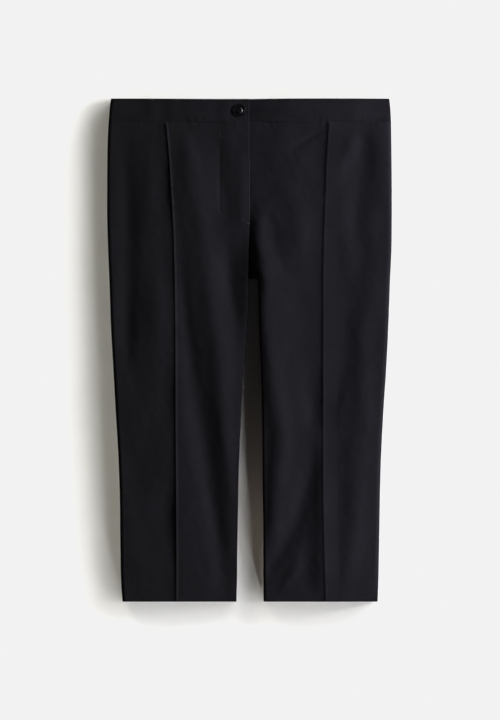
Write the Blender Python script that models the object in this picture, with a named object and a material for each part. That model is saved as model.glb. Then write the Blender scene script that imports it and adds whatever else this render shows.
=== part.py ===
"""Capri pants laid flat on a surface with their front up, built from their cut pieces.

The waist lies at +Y and the hems at -Y. The wearer's right leg is at -X. The backs rest on Z = 0
and the fronts lie on them. Every size below is in millimetres; the meshes are made in metres.

A place on a leg is given by its drop, measured down from the top edge of the waistband, and by
its reach, measured sideways from the middle of the garment and positive towards the side seam.
"""

import math
from typing import NamedTuple

import bmesh
import bpy
import numpy as np

MM = 0.001

# Driving dimensions of the garment.
LENGTH = 804.6            # waistband edge to hem
WAISTBAND_DEPTH = 37.0
CROTCH_DROP = 288.6       # waistband edge to the point where the four leg seams meet
GAP = 0.3                 # kept between two pieces that meet

# Cloth walls.
CLOTH = 1.2               # one layer
WAISTBAND_WALL = 2.0      # two layers and their turnings
HEM_WALL = 1.9            # cloth turned up on itself
HEM_TURN_UP = 25.0
HEM_STEP = 4.0            # length over which the wall thickens at the top of the turn-up

# Heights above the surface that the garment lies on.
SEAM_HEIGHT = 3.2         # side seams and inseams, on the rolled edges
HEM_HEIGHT = 5.8
WAIST_SEAM_HEIGHT = 5.7
WAISTBAND_HEIGHT = 6.2
UNDERLAP_BAND_HEIGHT = WAISTBAND_WALL + GAP + WAISTBAND_WALL
OVERLAP_BAND_HEIGHT = UNDERLAP_BAND_HEIGHT + GAP + WAISTBAND_WALL
FLY_HEIGHT = 6.6          # outer face of the right front where it laps over
UNDERLAP_HEIGHT = 4.4     # outer face of the left front under the lap

# Rolled edges, settling and the sewn creases.
EDGE_ROLL = 5.0           # width of a rolled edge, seen from above
BACK_ROLL = 4.0
WAIST_SETTLE = 28.0       # below the waist seam the cloth rises to its full height
HEM_SETTLE = 45.0
HEM_RELIEF = 0.35         # share of the folds that is left at the hem
BODY_MIDDLE = 120.0       # reach at which the middle height of a front is given
TUCK_HEIGHT = 1.6
TUCK_FOOT = 1.7           # half the width of a sewn crease at its foot
TUCK_CREST = 0.7          # half the width of its crest

# The fly: the right front laps over the left one.
LAP_EDGE = 0.4            # x of the lap's edge
LAP_END_DROP = 197.0
UNDERLAP = 6.0            # how far the left front runs on under the lap
UNDERLAP_END_DROP = 188.0
LAP_FLAT = 20.0           # width beside the edge that stays level
LAP_SLOPE = 20.0          # and the width over which it meets the rest of the front
LEFT_SLOPE = 42.0         # width over which the left front rises from the lap's edge
LAP_CLEARANCE = 0.6       # left front's edge to the lap's edge, where the underlap has ended
LAP_SHADOW = 1.6          # width beside the lap's edge where the piece under it stays down
VALLEY_START_DROP = 203.0

# Waistband ends, button and buttonhole.
BAND_UNDERLAP = 34.0      # length of the left band under the right one
BAND_UNDERLAP_CLEAR = 2.0 # the right band stays up this far past the underlap's end
BUTTON_X = -15.6
BUTTON_DROP = 19.4
BUTTON_RADIUS = 10.0
BUTTON_SEGMENTS = 28
HOLE_RING = 2.2           # centre of each sewing hole from the button's centre
HOLE_RADIUS = 0.85
HOLE_SEGMENTS = 8
STEM_RADIUS = 1.3
STEM_SEGMENTS = 12
STEM_CLEARANCE = 0.8      # stem to the buttonhole's end
BUTTONHOLE_LENGTH = 14.0
BUTTONHOLE_WIDTH = 3.6
CUTTER_DEPTH = 6.0        # how far a cutter runs past the face that it cuts

# Zip under the lap.
ZIP_X = -10.0
ZIP_TOP_DROP = 42.0
ZIP_END_DROP = 192.0
TAPE_WIDTH = 26.0
TAPE_THICK = 0.8
CHAIN_WIDTH = 5.0
CHAIN_CREST_WIDTH = 3.8
CHAIN_THICK = 0.9
SLIDER_WIDTH = 8.0
SLIDER_TAIL_WIDTH = 5.0
SLIDER_LENGTH = 9.0
SLIDER_THICK = 1.5
TAB_WIDTH = 4.0
TAB_LENGTH = 18.0
TAB_CHAMFER = 1.0

# Grid of a cloth wall.
ROLL_ANGLES = (0.0, 30.0, 60.0, 90.0)
EDGE_SHARES = (1.0, 0.6, 0.3, 0.0)
FRONT_SIDE_STEPS = 11     # between the rolled side and the sewn crease
FRONT_INNER_STEPS = 14    # between the sewn crease and the inner edge
BACK_STEPS = 5
BAND_STEPS = 4            # in each of the three stretches of a front waistband
BACK_BAND_STEPS = 4       # in half of the back waistband
SHARP_ANGLE = 50.0
HIP_DROPS = (52.0, 80.0, 108.0, 136.0, 164.0, 188.0, 197.0, 203.0, 212.0, 226.0, 246.0, 268.0)
FORK_DROPS = (287.6, 289.4)
LEG_DROPS = (300.0, 330.0, 362.0, 394.0, 426.0, 458.0, 490.0, 522.0, 554.0, 586.0, 618.0, 650.0,
             682.0, 714.0, 746.0, 777.0, 781.0, 797.0)
BACK_HIP_DROPS = (80.0, 136.0, 188.0, 226.0, 268.0)
BACK_LEG_DROPS = (300.0, 330.0, 394.0, 458.0, 522.0, 586.0, 650.0, 714.0, 777.0, 781.0, 797.0)

# Colours of the materials.
CLOTH_COLOUR = (0.012, 0.012, 0.015, 1.0)
TAPE_COLOUR = (0.010, 0.010, 0.012, 1.0)
SLIDER_COLOUR = (0.45, 0.45, 0.47, 1.0)
BUTTON_COLOUR = (0.008, 0.008, 0.010, 1.0)


class Turned(NamedTuple):
    """A point of a turned profile: its distance from the axis and its height."""
    radius: float
    height: float


class BandRow(NamedTuple):
    """A row of a waistband: its drop, and how far its folded edge is softened there."""
    drop: float
    softening: float


class Leg(NamedTuple):
    """One half of the garment: its name, and the way its reach runs along X."""
    name: str
    sign: int


RIGHT = Leg("right", -1)
LEFT = Leg("left", 1)


class Pair(NamedTuple):
    """X of the same line on both halves, at one drop."""
    drop: float
    right: float
    left: float


class Fork(NamedTuple):
    """The dip between the legs at one drop: its two rims, its seam and the seam's height."""
    drop: float
    right: float
    left: float
    seam: float
    floor: float


class Body(NamedTuple):
    """Height of a front between its folds, at one drop: at its side, middle and inner edge."""
    drop: float
    side: float
    middle: float
    inner: float


class FoldRow(NamedTuple):
    """A fold at one drop: the x of its middle, half its width and its height, or its depth."""
    drop: float
    x: float
    half_width: float
    height: float


class Fold(NamedTuple):
    """A long soft ridge or trough of a front, followed down the leg."""
    name: str
    leg: Leg
    rows: tuple


SIDE_SEAMS = (
    Pair(0.0, -220.4, 222.6), Pair(12.0, -222.2, 223.8), Pair(31.0, -223.9, 224.9),
    Pair(74.0, -226.0, 225.7), Pair(122.0, -226.6, 226.3), Pair(194.0, -226.5, 226.5),
    Pair(242.0, -225.2, 226.0), Pair(290.0, -223.1, 223.8), Pair(362.0, -220.7, 221.2),
    Pair(434.0, -216.7, 217.4), Pair(506.0, -212.7, 212.7), Pair(578.0, -208.5, 208.9),
    Pair(626.0, -206.8, 207.3), Pair(722.0, -205.5, 206.2), Pair(786.0, -203.8, 205.2),
    Pair(804.6, -200.6, 203.6),
)
INSEAMS = (
    Pair(288.0, -1.0, 15.1), Pair(322.0, -1.4, 15.6), Pair(380.0, -5.2, 17.2),
    Pair(437.0, -10.0, 19.6), Pair(476.0, -12.9, 20.7), Pair(530.0, -14.9, 21.7),
    Pair(602.0, -17.7, 22.0), Pair(674.0, -19.3, 22.2), Pair(770.0, -20.4, 23.1),
    Pair(804.6, -21.2, 24.2),
)
TUCKS = (
    Pair(37.0, -132.0, 126.8), Pair(60.0, -128.6, 125.0), Pair(98.0, -124.6, 122.8),
    Pair(163.0, -121.4, 121.2), Pair(258.0, -118.8, 119.4), Pair(355.0, -117.3, 119.0),
    Pair(515.0, -116.8, 119.0), Pair(643.0, -116.0, 119.4), Pair(740.0, -115.6, 121.4),
    Pair(804.6, -115.6, 123.4),
)
BACK_SEAM = (
    Pair(0.0, 1.0, 1.0), Pair(120.0, 1.6, 1.6), Pair(226.0, 5.0, 5.0), Pair(289.0, 7.1, 7.1),
)
FORK = (
    Fork(203.0, 0.3, 7.5, 2.2, 5.4), Fork(212.0, 0.1, 11.4, 3.8, 4.6),
    Fork(226.0, -0.2, 14.0, 5.4, 3.9), Fork(250.0, -0.4, 14.9, 6.6, 3.4),
    Fork(275.0, -0.9, 15.6, 7.0, 3.4), Fork(289.0, -1.1, 15.3, 7.1, 3.4),
)
BODIES = {
    RIGHT: (
        Body(37.0, 6.3, 6.8, 6.2), Body(160.0, 7.2, 7.6, 5.2), Body(250.0, 7.4, 7.2, 4.4),
        Body(330.0, 7.2, 7.3, 4.2), Body(430.0, 6.6, 7.6, 4.3), Body(520.0, 6.6, 7.4, 4.7),
        Body(640.0, 6.3, 6.6, 6.0), Body(760.0, 5.2, 6.2, 4.8), Body(804.6, 5.2, 6.0, 4.6),
    ),
    LEFT: (
        Body(37.0, 7.4, 6.4, 6.8), Body(160.0, 8.3, 6.5, 6.8), Body(250.0, 8.1, 6.4, 9.6),
        Body(330.0, 8.3, 6.4, 10.2), Body(430.0, 8.1, 6.5, 9.0), Body(520.0, 8.0, 6.7, 7.5),
        Body(640.0, 7.8, 6.6, 6.5), Body(760.0, 5.8, 6.2, 5.2), Body(804.6, 4.9, 6.0, 5.6),
    ),
}
FOLDS = (
    # Right leg, from the side seam inwards.
    Fold("side trough", RIGHT, (
        FoldRow(45, -196, 14, 0.0), FoldRow(100, -197, 15, -0.8), FoldRow(235, -194, 17, -1.9),
        FoldRow(370, -196, 16, -1.6), FoldRow(460, -194, 13, 0.0))),
    Fold("outer ridge", RIGHT, (
        FoldRow(45, -158, 13, 0.0), FoldRow(105, -158, 12, 0.9), FoldRow(235, -153, 15, 0.6),
        FoldRow(355, -148, 17, 0.8), FoldRow(480, -146, 17, 0.0))),
    Fold("thigh ridge", RIGHT, (
        FoldRow(47, -104, 12, 0.0), FoldRow(83, -97, 16, 1.7), FoldRow(130, -88, 20, 2.2),
        FoldRow(235, -72, 20, 3.0), FoldRow(343, -59, 22, 3.7), FoldRow(400, -51, 22, 3.4),
        FoldRow(483, -43, 17, 2.3), FoldRow(563, -36, 13, 1.2), FoldRow(660, -24, 9, 0.0))),
    Fold("fly trough", RIGHT, (
        FoldRow(47, -68, 12, 0.0), FoldRow(83, -53, 14, -1.2), FoldRow(130, -44, 16, -2.2),
        FoldRow(187, -41, 13, -1.5), FoldRow(258, -32, 14, -1.7), FoldRow(323, -27, 10, -0.8),
        FoldRow(370, -18, 8, 0.0))),
    Fold("upper slant", RIGHT, (
        FoldRow(165, -115, 8, 0.0), FoldRow(243, -108, 10, -0.4), FoldRow(343, -102, 11, -1.0),
        FoldRow(418, -91, 13, -1.0), FoldRow(465, -86, 11, 0.0))),
    Fold("shin slant", RIGHT, (
        FoldRow(370, -113, 13, 0.0), FoldRow(450, -91, 17, -1.5), FoldRow(530, -76, 19, -2.6),
        FoldRow(620, -61, 17, -2.4), FoldRow(690, -51, 14, -1.8), FoldRow(762, -43, 15, -1.2),
        FoldRow(804.6, -43, 15, -0.6))),
    # Left leg, from the inner edge outwards.
    Fold("crotch trough", LEFT, (
        FoldRow(175, 22, 8, 0.0), FoldRow(203, 36, 13, -1.0), FoldRow(236, 41, 16, -1.6),
        FoldRow(262, 50, 14, -0.6), FoldRow(290, 66, 14, 0.0))),
    Fold("crotch ridge", LEFT, (
        FoldRow(130, 69, 16, 0.0), FoldRow(170, 77, 20, 1.4), FoldRow(220, 81, 16, 1.2),
        FoldRow(260, 80, 11, 0.0))),
    Fold("thigh hollow", LEFT, (
        FoldRow(250, 66, 19, 0.0), FoldRow(322, 78, 22, -0.6), FoldRow(400, 86, 20, -0.4),
        FoldRow(450, 100, 19, -0.7), FoldRow(500, 102, 16, -1.4), FoldRow(545, 101, 13, 0.0))),
    Fold("shin ridge", LEFT, (
        FoldRow(385, 31, 11, 0.0), FoldRow(450, 40, 15, 0.9), FoldRow(530, 49, 18, 2.4),
        FoldRow(615, 45, 16, 2.7), FoldRow(670, 40, 13, 1.4), FoldRow(720, 42, 12, 0.0))),
    Fold("shin slant", LEFT, (
        FoldRow(530, 100, 10, 0.0), FoldRow(580, 97, 14, -1.0), FoldRow(615, 92, 13, -1.3),
        FoldRow(660, 80, 16, -1.9), FoldRow(707, 62, 17, -1.7), FoldRow(755, 34, 13, -0.8),
        FoldRow(780, 24, 11, 0.0))),
    Fold("crease rise", LEFT, (
        FoldRow(545, 116, 11, 0.0), FoldRow(610, 116, 10, 1.1), FoldRow(690, 117, 13, 2.1),
        FoldRow(747, 118, 16, 2.0), FoldRow(800, 116, 14, 0.0))),
    Fold("outer trough", LEFT, (
        FoldRow(250, 172, 14, 0.0), FoldRow(307, 160, 18, -1.2), FoldRow(387, 151, 16, -0.7),
        FoldRow(452, 144, 14, -0.8), FoldRow(507, 130, 11, -0.8), FoldRow(590, 128, 10, -0.3),
        FoldRow(640, 135, 10, 0.0))),
    Fold("outer ridge", LEFT, (
        FoldRow(262, 197, 13, 0.0), FoldRow(322, 188, 13, 0.4), FoldRow(452, 181, 18, 0.9),
        FoldRow(547, 175, 21, 1.2), FoldRow(643, 169, 20, 1.6), FoldRow(752, 160, 15, 1.0),
        FoldRow(790, 156, 13, 0.0))),
    Fold("side trough", LEFT, (
        FoldRow(37, 180, 12, -0.3), FoldRow(98, 183, 18, -2.0), FoldRow(163, 177, 20, -1.7),
        FoldRow(243, 178, 18, -0.9), FoldRow(290, 181, 13, 0.0))),
)
BAND_LOW = WAISTBAND_DEPTH - GAP / 2.0
BAND_ROWS = (
    BandRow(0.0, 0.6), BandRow(1.5, 0.15), BandRow(6.0, 0.0), BandRow(BAND_LOW / 2.0, 0.0),
    BandRow(BAND_LOW - 3.0, 0.0), BandRow(BAND_LOW, 0.3),
)
BUTTON_PROFILE = (
    Turned(0.0, 0.0), Turned(0.68 * BUTTON_RADIUS, 0.0), Turned(0.90 * BUTTON_RADIUS, 0.6),
    Turned(BUTTON_RADIUS, 1.7), Turned(0.97 * BUTTON_RADIUS, 2.5), Turned(0.87 * BUTTON_RADIUS, 2.9),
    Turned(0.75 * BUTTON_RADIUS, 2.7), Turned(0.65 * BUTTON_RADIUS, 1.9),
    Turned(0.45 * BUTTON_RADIUS, 1.6), Turned(0.0, 1.6),
)


def ease(share):
    """Smooth step from 0 to 1, level at both ends."""
    share = min(max(share, 0.0), 1.0)
    return share * share * (3.0 - 2.0 * share)


def mix(low, high, share):
    """Value a share of the way from low to high."""
    return low + (high - low) * share


def along(rows, drop, column):
    """Value of a table's column at a drop, on a smooth curve through its rows."""
    drops = [row.drop for row in rows]
    values = [getattr(row, column) for row in rows]
    drop = min(max(drop, drops[0]), drops[-1])
    slopes = np.gradient(values, drops)
    k = min(int(np.searchsorted(drops, drop, side="right")) - 1, len(rows) - 2)
    span = drops[k + 1] - drops[k]
    t = (drop - drops[k]) / span
    rise = ease(t)
    start = t * (1.0 - t) ** 2 * span * slopes[k]
    end = t * t * (t - 1.0) * span * slopes[k + 1]
    return float(mix(values[k], values[k + 1], rise) + start + end)


def place(leg, reach, drop, height):
    """World point, in millimetres, of a place on one half of the garment."""
    return (leg.sign * reach, LENGTH / 2.0 - drop, height)


def body_height(leg, reach, drop):
    """Height of a front between its folds at one place."""
    rows = BODIES[leg]
    side = leg.sign * along(SIDE_SEAMS, drop, leg.name)
    middle = along(rows, drop, "middle")
    if reach > BODY_MIDDLE:
        return mix(middle, along(rows, drop, "side"), ease((reach - BODY_MIDDLE) / (side - BODY_MIDDLE)))
    return mix(middle, along(rows, drop, "inner"), ease(1.0 - reach / BODY_MIDDLE))


def fold_relief(leg, reach, drop):
    """Height that the folds of a front add at one place."""
    total = 0.0
    for fold in FOLDS:
        if fold.leg is leg and fold.rows[0].drop < drop < fold.rows[-1].drop:
            across = leg.sign * reach - along(fold.rows, drop, "x")
            across /= along(fold.rows, drop, "half_width")
            total += along(fold.rows, drop, "height") * math.exp(-across * across)
    return total


def front_height(leg, reach, drop):
    """Height of the outer face of a front, without its sewn crease."""
    rise = ease((drop - WAISTBAND_DEPTH) / WAIST_SETTLE)
    fall = ease((LENGTH - drop) / HEM_SETTLE)
    height = body_height(leg, reach, drop) + fold_relief(leg, reach, drop)
    height = mix(WAIST_SEAM_HEIGHT, height, rise)
    height = mix(HEM_HEIGHT, height, mix(HEM_RELIEF, 1.0, fall))
    lap = 1.0 - ease((drop - LAP_END_DROP) / (VALLEY_START_DROP - LAP_END_DROP))
    if leg is RIGHT:
        near = 1.0 - ease((reach + LAP_EDGE - LAP_FLAT) / LAP_SLOPE)
        return mix(height, FLY_HEIGHT, near * lap)
    clear = min(max((reach - LAP_EDGE - LAP_SHADOW) / LEFT_SLOPE, 0.0), 1.0)
    return mix(height, UNDERLAP_HEIGHT, (1.0 - clear) ** 2 * lap)


def wall_at(drop):
    """Thickness of a leg's wall: one layer, and two where the hem is turned up."""
    start = LENGTH - HEM_TURN_UP - HEM_STEP / 2.0
    return mix(CLOTH, HEM_WALL, ease((drop - start) / HEM_STEP))


def rolled(edge, towards, width, seam, top, wall, angles):
    """Outer and inner points of a rolled edge.

    edge is the reach of its outermost point, towards is the way to the flat of the panel, seam
    and top are the heights at its end and at its crown, and angles run from 0 at the end.
    """
    outer, inner = [], []
    for angle in angles:
        turn = math.radians(angle)
        run = 1.0 - math.cos(turn)
        lift = math.sin(turn)
        body = top - math.copysign(wall, top - seam)
        outer.append((edge + towards * width * run, mix(seam, top, lift)))
        inner.append((edge + towards * (wall + (width - wall) * run), mix(seam, body, lift)))
    return outer, inner


def level(reaches, heights, wall):
    """Outer and inner points of a stretch that lies level, wall being the way down to the inside."""
    outer = list(zip(reaches, heights))
    inner = [(reach, height - wall) for reach, height in outer]
    return outer, inner


def front_inner_edge(leg, drop, wall):
    """Points of a front along its lap, its dip between the legs or its inseam, edge last."""
    def top(reach):
        return front_height(leg, reach, drop)

    if drop < VALLEY_START_DROP:
        ended = ease((drop - UNDERLAP_END_DROP) / (LAP_END_DROP - UNDERLAP_END_DROP))
        edge = -LAP_EDGE
        if leg is LEFT:
            edge = mix(LAP_EDGE - UNDERLAP, LAP_EDGE + LAP_CLEARANCE, ended)
        reaches = [edge + EDGE_ROLL * share for share in EDGE_SHARES]
        return level(reaches, [top(reach) for reach in reaches], wall)
    if drop > CROTCH_DROP:
        edge = leg.sign * along(INSEAMS, drop, leg.name)
        crown = top(edge + EDGE_ROLL)
        return rolled(edge, 1.0, EDGE_ROLL, SEAM_HEIGHT + GAP / 2.0, crown, wall, ROLL_ANGLES[::-1])
    rim = leg.sign * along(FORK, drop, leg.name)
    seam = leg.sign * along(FORK, drop, "seam") + GAP / 2.0
    floor = along(FORK, drop, "floor")
    outer, inner = rolled(rim, 1.0, EDGE_ROLL, floor, top(rim + EDGE_ROLL), wall, ROLL_ANGLES[:0:-1])
    end = level([seam], [floor], wall)
    return outer + end[0], inner + end[1]


def front_section(leg, drop):
    """Outer and inner points of a front at one drop, from its side seam to its inner edge."""
    wall = wall_at(drop)
    side = leg.sign * along(SIDE_SEAMS, drop, leg.name)
    tuck = leg.sign * along(TUCKS, drop, leg.name)
    crown = front_height(leg, side - EDGE_ROLL, drop)
    outer, inner = rolled(side, -1.0, EDGE_ROLL, SEAM_HEIGHT + GAP / 2.0, crown, wall, ROLL_ANGLES)
    edge_outer, edge_inner = front_inner_edge(leg, drop, wall)
    side_run = np.linspace(side - EDGE_ROLL, tuck + TUCK_FOOT, FRONT_SIDE_STEPS + 1)[1:]
    inner_run = np.linspace(tuck - TUCK_FOOT, edge_outer[0][0], FRONT_INNER_STEPS + 1)[:-1]
    crest = [tuck + TUCK_CREST, tuck - TUCK_CREST]
    for raised, run in ((0.0, side_run), (TUCK_HEIGHT, crest), (0.0, inner_run)):
        for reach in run:
            height = front_height(leg, reach, drop)
            outer.append((reach, height + raised))
            inner.append((reach, height - wall))
    return outer + edge_outer, inner + edge_inner


def back_section(leg, drop):
    """Outer and inner points of a back at one drop, from its side seam to its inner edge."""
    wall = wall_at(drop)
    side = leg.sign * along(SIDE_SEAMS, drop, leg.name)
    seam_height = SEAM_HEIGHT - GAP / 2.0
    outer, inner = rolled(side, -1.0, BACK_ROLL, seam_height, 0.0, wall, ROLL_ANGLES)
    if drop > CROTCH_DROP:
        edge = leg.sign * along(INSEAMS, drop, leg.name)
        ending = rolled(edge, 1.0, BACK_ROLL, seam_height, 0.0, wall, ROLL_ANGLES[::-1])
    else:
        edge = leg.sign * along(BACK_SEAM, drop, leg.name) + GAP / 2.0
        reaches = [edge + BACK_ROLL * share for share in EDGE_SHARES]
        ending = level(reaches, [0.0] * len(reaches), -wall)
    for reach in np.linspace(side - BACK_ROLL, ending[0][0][0], BACK_STEPS + 1)[1:-1]:
        outer.append((reach, 0.0))
        inner.append((reach, wall))
    return outer + ending[0], inner + ending[1]


def band_height(leg, reach):
    """Height of the outer face of a front waistband, which laps right over left."""
    if leg is RIGHT:
        near = 1.0 - ease((reach - BAND_UNDERLAP - BAND_UNDERLAP_CLEAR) / LAP_SLOPE)
        return mix(WAISTBAND_HEIGHT, OVERLAP_BAND_HEIGHT, near)
    near = 1.0 - ease((reach - LAP_EDGE - LAP_SHADOW) / LAP_SLOPE)
    return mix(WAISTBAND_HEIGHT, UNDERLAP_BAND_HEIGHT, near)


def front_band_section(leg, drop, softening):
    """Outer and inner points of a front waistband; softening lowers its folded edges."""
    side = leg.sign * along(SIDE_SEAMS, drop, leg.name)
    end = -LAP_EDGE if leg is RIGHT else LAP_EDGE - BAND_UNDERLAP
    crown = WAISTBAND_HEIGHT - softening
    wall = WAISTBAND_WALL - softening
    outer, inner = rolled(side, -1.0, EDGE_ROLL, SEAM_HEIGHT + GAP / 2.0, crown, wall, ROLL_ANGLES)
    low = BAND_UNDERLAP + BAND_UNDERLAP_CLEAR if leg is RIGHT else LAP_EDGE + LAP_SHADOW
    stops = [side - EDGE_ROLL, low + LAP_SLOPE, low, end]
    for start, stop in zip(stops, stops[1:]):
        for reach in np.linspace(start, stop, BAND_STEPS + 1)[1:]:
            height = band_height(leg, reach) - softening
            outer.append((reach, height))
            inner.append((reach, height - wall))
    return outer, inner


def back_band_section(leg, drop, softening):
    """Outer and inner points of half the back waistband, ending at the middle of the garment."""
    side = leg.sign * along(SIDE_SEAMS, drop, leg.name)
    wall = WAISTBAND_WALL - softening
    outer, inner = rolled(side, -1.0, BACK_ROLL, SEAM_HEIGHT - GAP / 2.0, 0.0, wall, ROLL_ANGLES)
    for reach in np.linspace(side - BACK_ROLL, 0.0, BACK_BAND_STEPS + 1)[1:]:
        outer.append((reach, 0.0))
        inner.append((reach, wall))
    return outer, inner


def cloth_solid(name, outer, inner, material):
    """Close two grids of points, in millimetres, into one wall and return its object."""
    rows, columns = len(outer), len(outer[0])
    mesh = bmesh.new()
    skins = []
    for grid in (outer, inner):
        skins.append([[mesh.verts.new([MM * value for value in point]) for point in row] for row in grid])
    face, inside = skins
    for r in range(rows - 1):
        for skin in skins:
            for c in range(columns - 1):
                mesh.faces.new((skin[r][c], skin[r + 1][c], skin[r + 1][c + 1], skin[r][c + 1]))
        for c in (0, columns - 1):
            mesh.faces.new((face[r][c], face[r + 1][c], inside[r + 1][c], inside[r][c]))
    for r in (0, rows - 1):
        for c in range(columns - 1):
            mesh.faces.new((face[r][c], face[r][c + 1], inside[r][c + 1], inside[r][c]))
    bmesh.ops.recalc_face_normals(mesh, faces=mesh.faces)
    return finish_object(name, mesh, material)


def finish_object(name, mesh, material):
    """Turn a bmesh into a smooth-shaded object under the garment's empty."""
    data = bpy.data.meshes.new(name)
    mesh.to_mesh(data)
    mesh.free()
    data.shade_smooth()
    data.set_sharp_from_angle(angle=math.radians(SHARP_ANGLE))
    data.materials.append(material)
    item = bpy.data.objects.new(name, data)
    bpy.context.scene.collection.objects.link(item)
    item.parent = bpy.data.objects["capri_pants"]
    return item


def plain_material(name, colour, roughness, metallic=0.0):
    """A Principled BSDF of one colour."""
    material = bpy.data.materials.new(name)
    material.use_nodes = True
    shader = material.node_tree.nodes["Principled BSDF"]
    shader.inputs["Base Color"].default_value = colour
    shader.inputs["Roughness"].default_value = roughness
    shader.inputs["Metallic"].default_value = metallic
    return material


def cloth_material(name):
    """Dark matt trouser cloth."""
    return plain_material(f"{name}_cloth", CLOTH_COLOUR, 0.85)


def section_grids(leg, rows, section):
    """Outer and inner grids of world points for one half.

    Each row is a tuple that starts with its drop and holds whatever else section takes.
    """
    outer, inner = [], []
    for row in rows:
        for grid, points in zip((outer, inner), section(leg, *row)):
            grid.append([place(leg, reach, row[0], height) for reach, height in points])
    return outer, inner


def add_front(leg):
    """Front panel of one leg, from the waist seam to the hem."""
    drops = (WAISTBAND_DEPTH + GAP / 2.0, *HIP_DROPS, *FORK_DROPS, *LEG_DROPS, LENGTH)
    rows = [(drop,) for drop in drops]
    name = f"front_{leg.name}"
    cloth_solid(name, *section_grids(leg, rows, front_section), cloth_material(name))


def add_back(leg):
    """Back panel of one leg, flat on the surface, with its edges rolled up to the seams."""
    drops = (WAISTBAND_DEPTH + GAP / 2.0, *BACK_HIP_DROPS, *FORK_DROPS, *BACK_LEG_DROPS, LENGTH)
    rows = [(drop,) for drop in drops]
    name = f"back_{leg.name}"
    cloth_solid(name, *section_grids(leg, rows, back_section), cloth_material(name))


def add_front_band(leg):
    """Front waistband of one side, from its side seam to its end at the opening."""
    name = f"waistband_front_{leg.name}"
    grids = section_grids(leg, BAND_ROWS, front_band_section)
    return cloth_solid(name, *grids, cloth_material(name))


def add_back_band():
    """Back waistband, one length from side seam to side seam."""
    halves = [section_grids(leg, BAND_ROWS, back_band_section) for leg in (RIGHT, LEFT)]
    joined = []
    for right, left in zip(*halves):
        joined.append([row + other[-2::-1] for row, other in zip(right, left)])
    cloth_solid("waistband_back", *joined, cloth_material("waistband_back"))


def extruded(name, outline, start, travel, material):
    """Solid of a flat outline of points, in millimetres, moved by start and swept along travel."""
    mesh = bmesh.new()
    corners = [mesh.verts.new([MM * (a + b) for a, b in zip(point, start)]) for point in outline]
    face = mesh.faces.new(corners)
    swept = bmesh.ops.extrude_face_region(mesh, geom=[face])
    moved = [item for item in swept["geom"] if isinstance(item, bmesh.types.BMVert)]
    bmesh.ops.translate(mesh, verts=moved, vec=[MM * value for value in travel])
    bmesh.ops.recalc_face_normals(mesh, faces=mesh.faces)
    return finish_object(name, mesh, material)


def add_zip():
    """Closed zip under the lap: its tape and chain as one strip, and its slider with a tab."""
    base = CLOTH + GAP
    half_tape = TAPE_WIDTH / 2.0
    half_chain = CHAIN_WIDTH / 2.0
    crest = CHAIN_CREST_WIDTH / 2.0
    chain_top = TAPE_THICK + CHAIN_THICK
    profile = [(-half_tape, 0, 0), (half_tape, 0, 0), (half_tape, 0, TAPE_THICK),
               (half_chain, 0, TAPE_THICK), (crest, 0, chain_top), (-crest, 0, chain_top),
               (-half_chain, 0, TAPE_THICK), (-half_tape, 0, TAPE_THICK)]
    top = LENGTH / 2.0 - ZIP_TOP_DROP
    tape = plain_material("fly_zip_tape", TAPE_COLOUR, 0.8)
    extruded("fly_zip", profile, (ZIP_X, top, base), (0, ZIP_TOP_DROP - ZIP_END_DROP, 0), tape)

    tip = -SLIDER_LENGTH - TAB_LENGTH
    half_plan = [(SLIDER_WIDTH / 2.0, 0.0), (SLIDER_TAIL_WIDTH / 2.0, -SLIDER_LENGTH),
                 (TAB_WIDTH / 2.0, -SLIDER_LENGTH), (TAB_WIDTH / 2.0, tip + TAB_CHAMFER),
                 (TAB_WIDTH / 2.0 - TAB_CHAMFER, tip)]
    plan = [(x, y, 0.0) for x, y in half_plan] + [(-x, y, 0.0) for x, y in reversed(half_plan)]
    metal = plain_material("zip_slider_metal", SLIDER_COLOUR, 0.35, 1.0)
    start = (ZIP_X, top, base + chain_top + GAP)
    extruded("zip_slider", plan, start, (0, 0, SLIDER_THICK), metal)


def cylinder(name, radius, span, centre, segments, material):
    """Upright cylinder over a span of two heights, at an (x, y) centre, all in millimetres."""
    low, high = span
    mesh = bmesh.new()
    bmesh.ops.create_cone(mesh, cap_ends=True, segments=segments, radius1=MM * radius,
                          radius2=MM * radius, depth=MM * (high - low))
    middle = (MM * centre[0], MM * centre[1], MM * (low + high) / 2.0)
    bmesh.ops.translate(mesh, verts=mesh.verts, vec=middle)
    return finish_object(name, mesh, material)


def cut(item, cutter):
    """Take a cutter's shape out of an object, and keep the cutter as a hidden guide."""
    cutter.hide_render = True
    cutter.display_type = "WIRE"
    modifier = item.modifiers.new(f"cut_{cutter.name}", "BOOLEAN")
    modifier.operation = "DIFFERENCE"
    modifier.object = cutter


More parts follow.
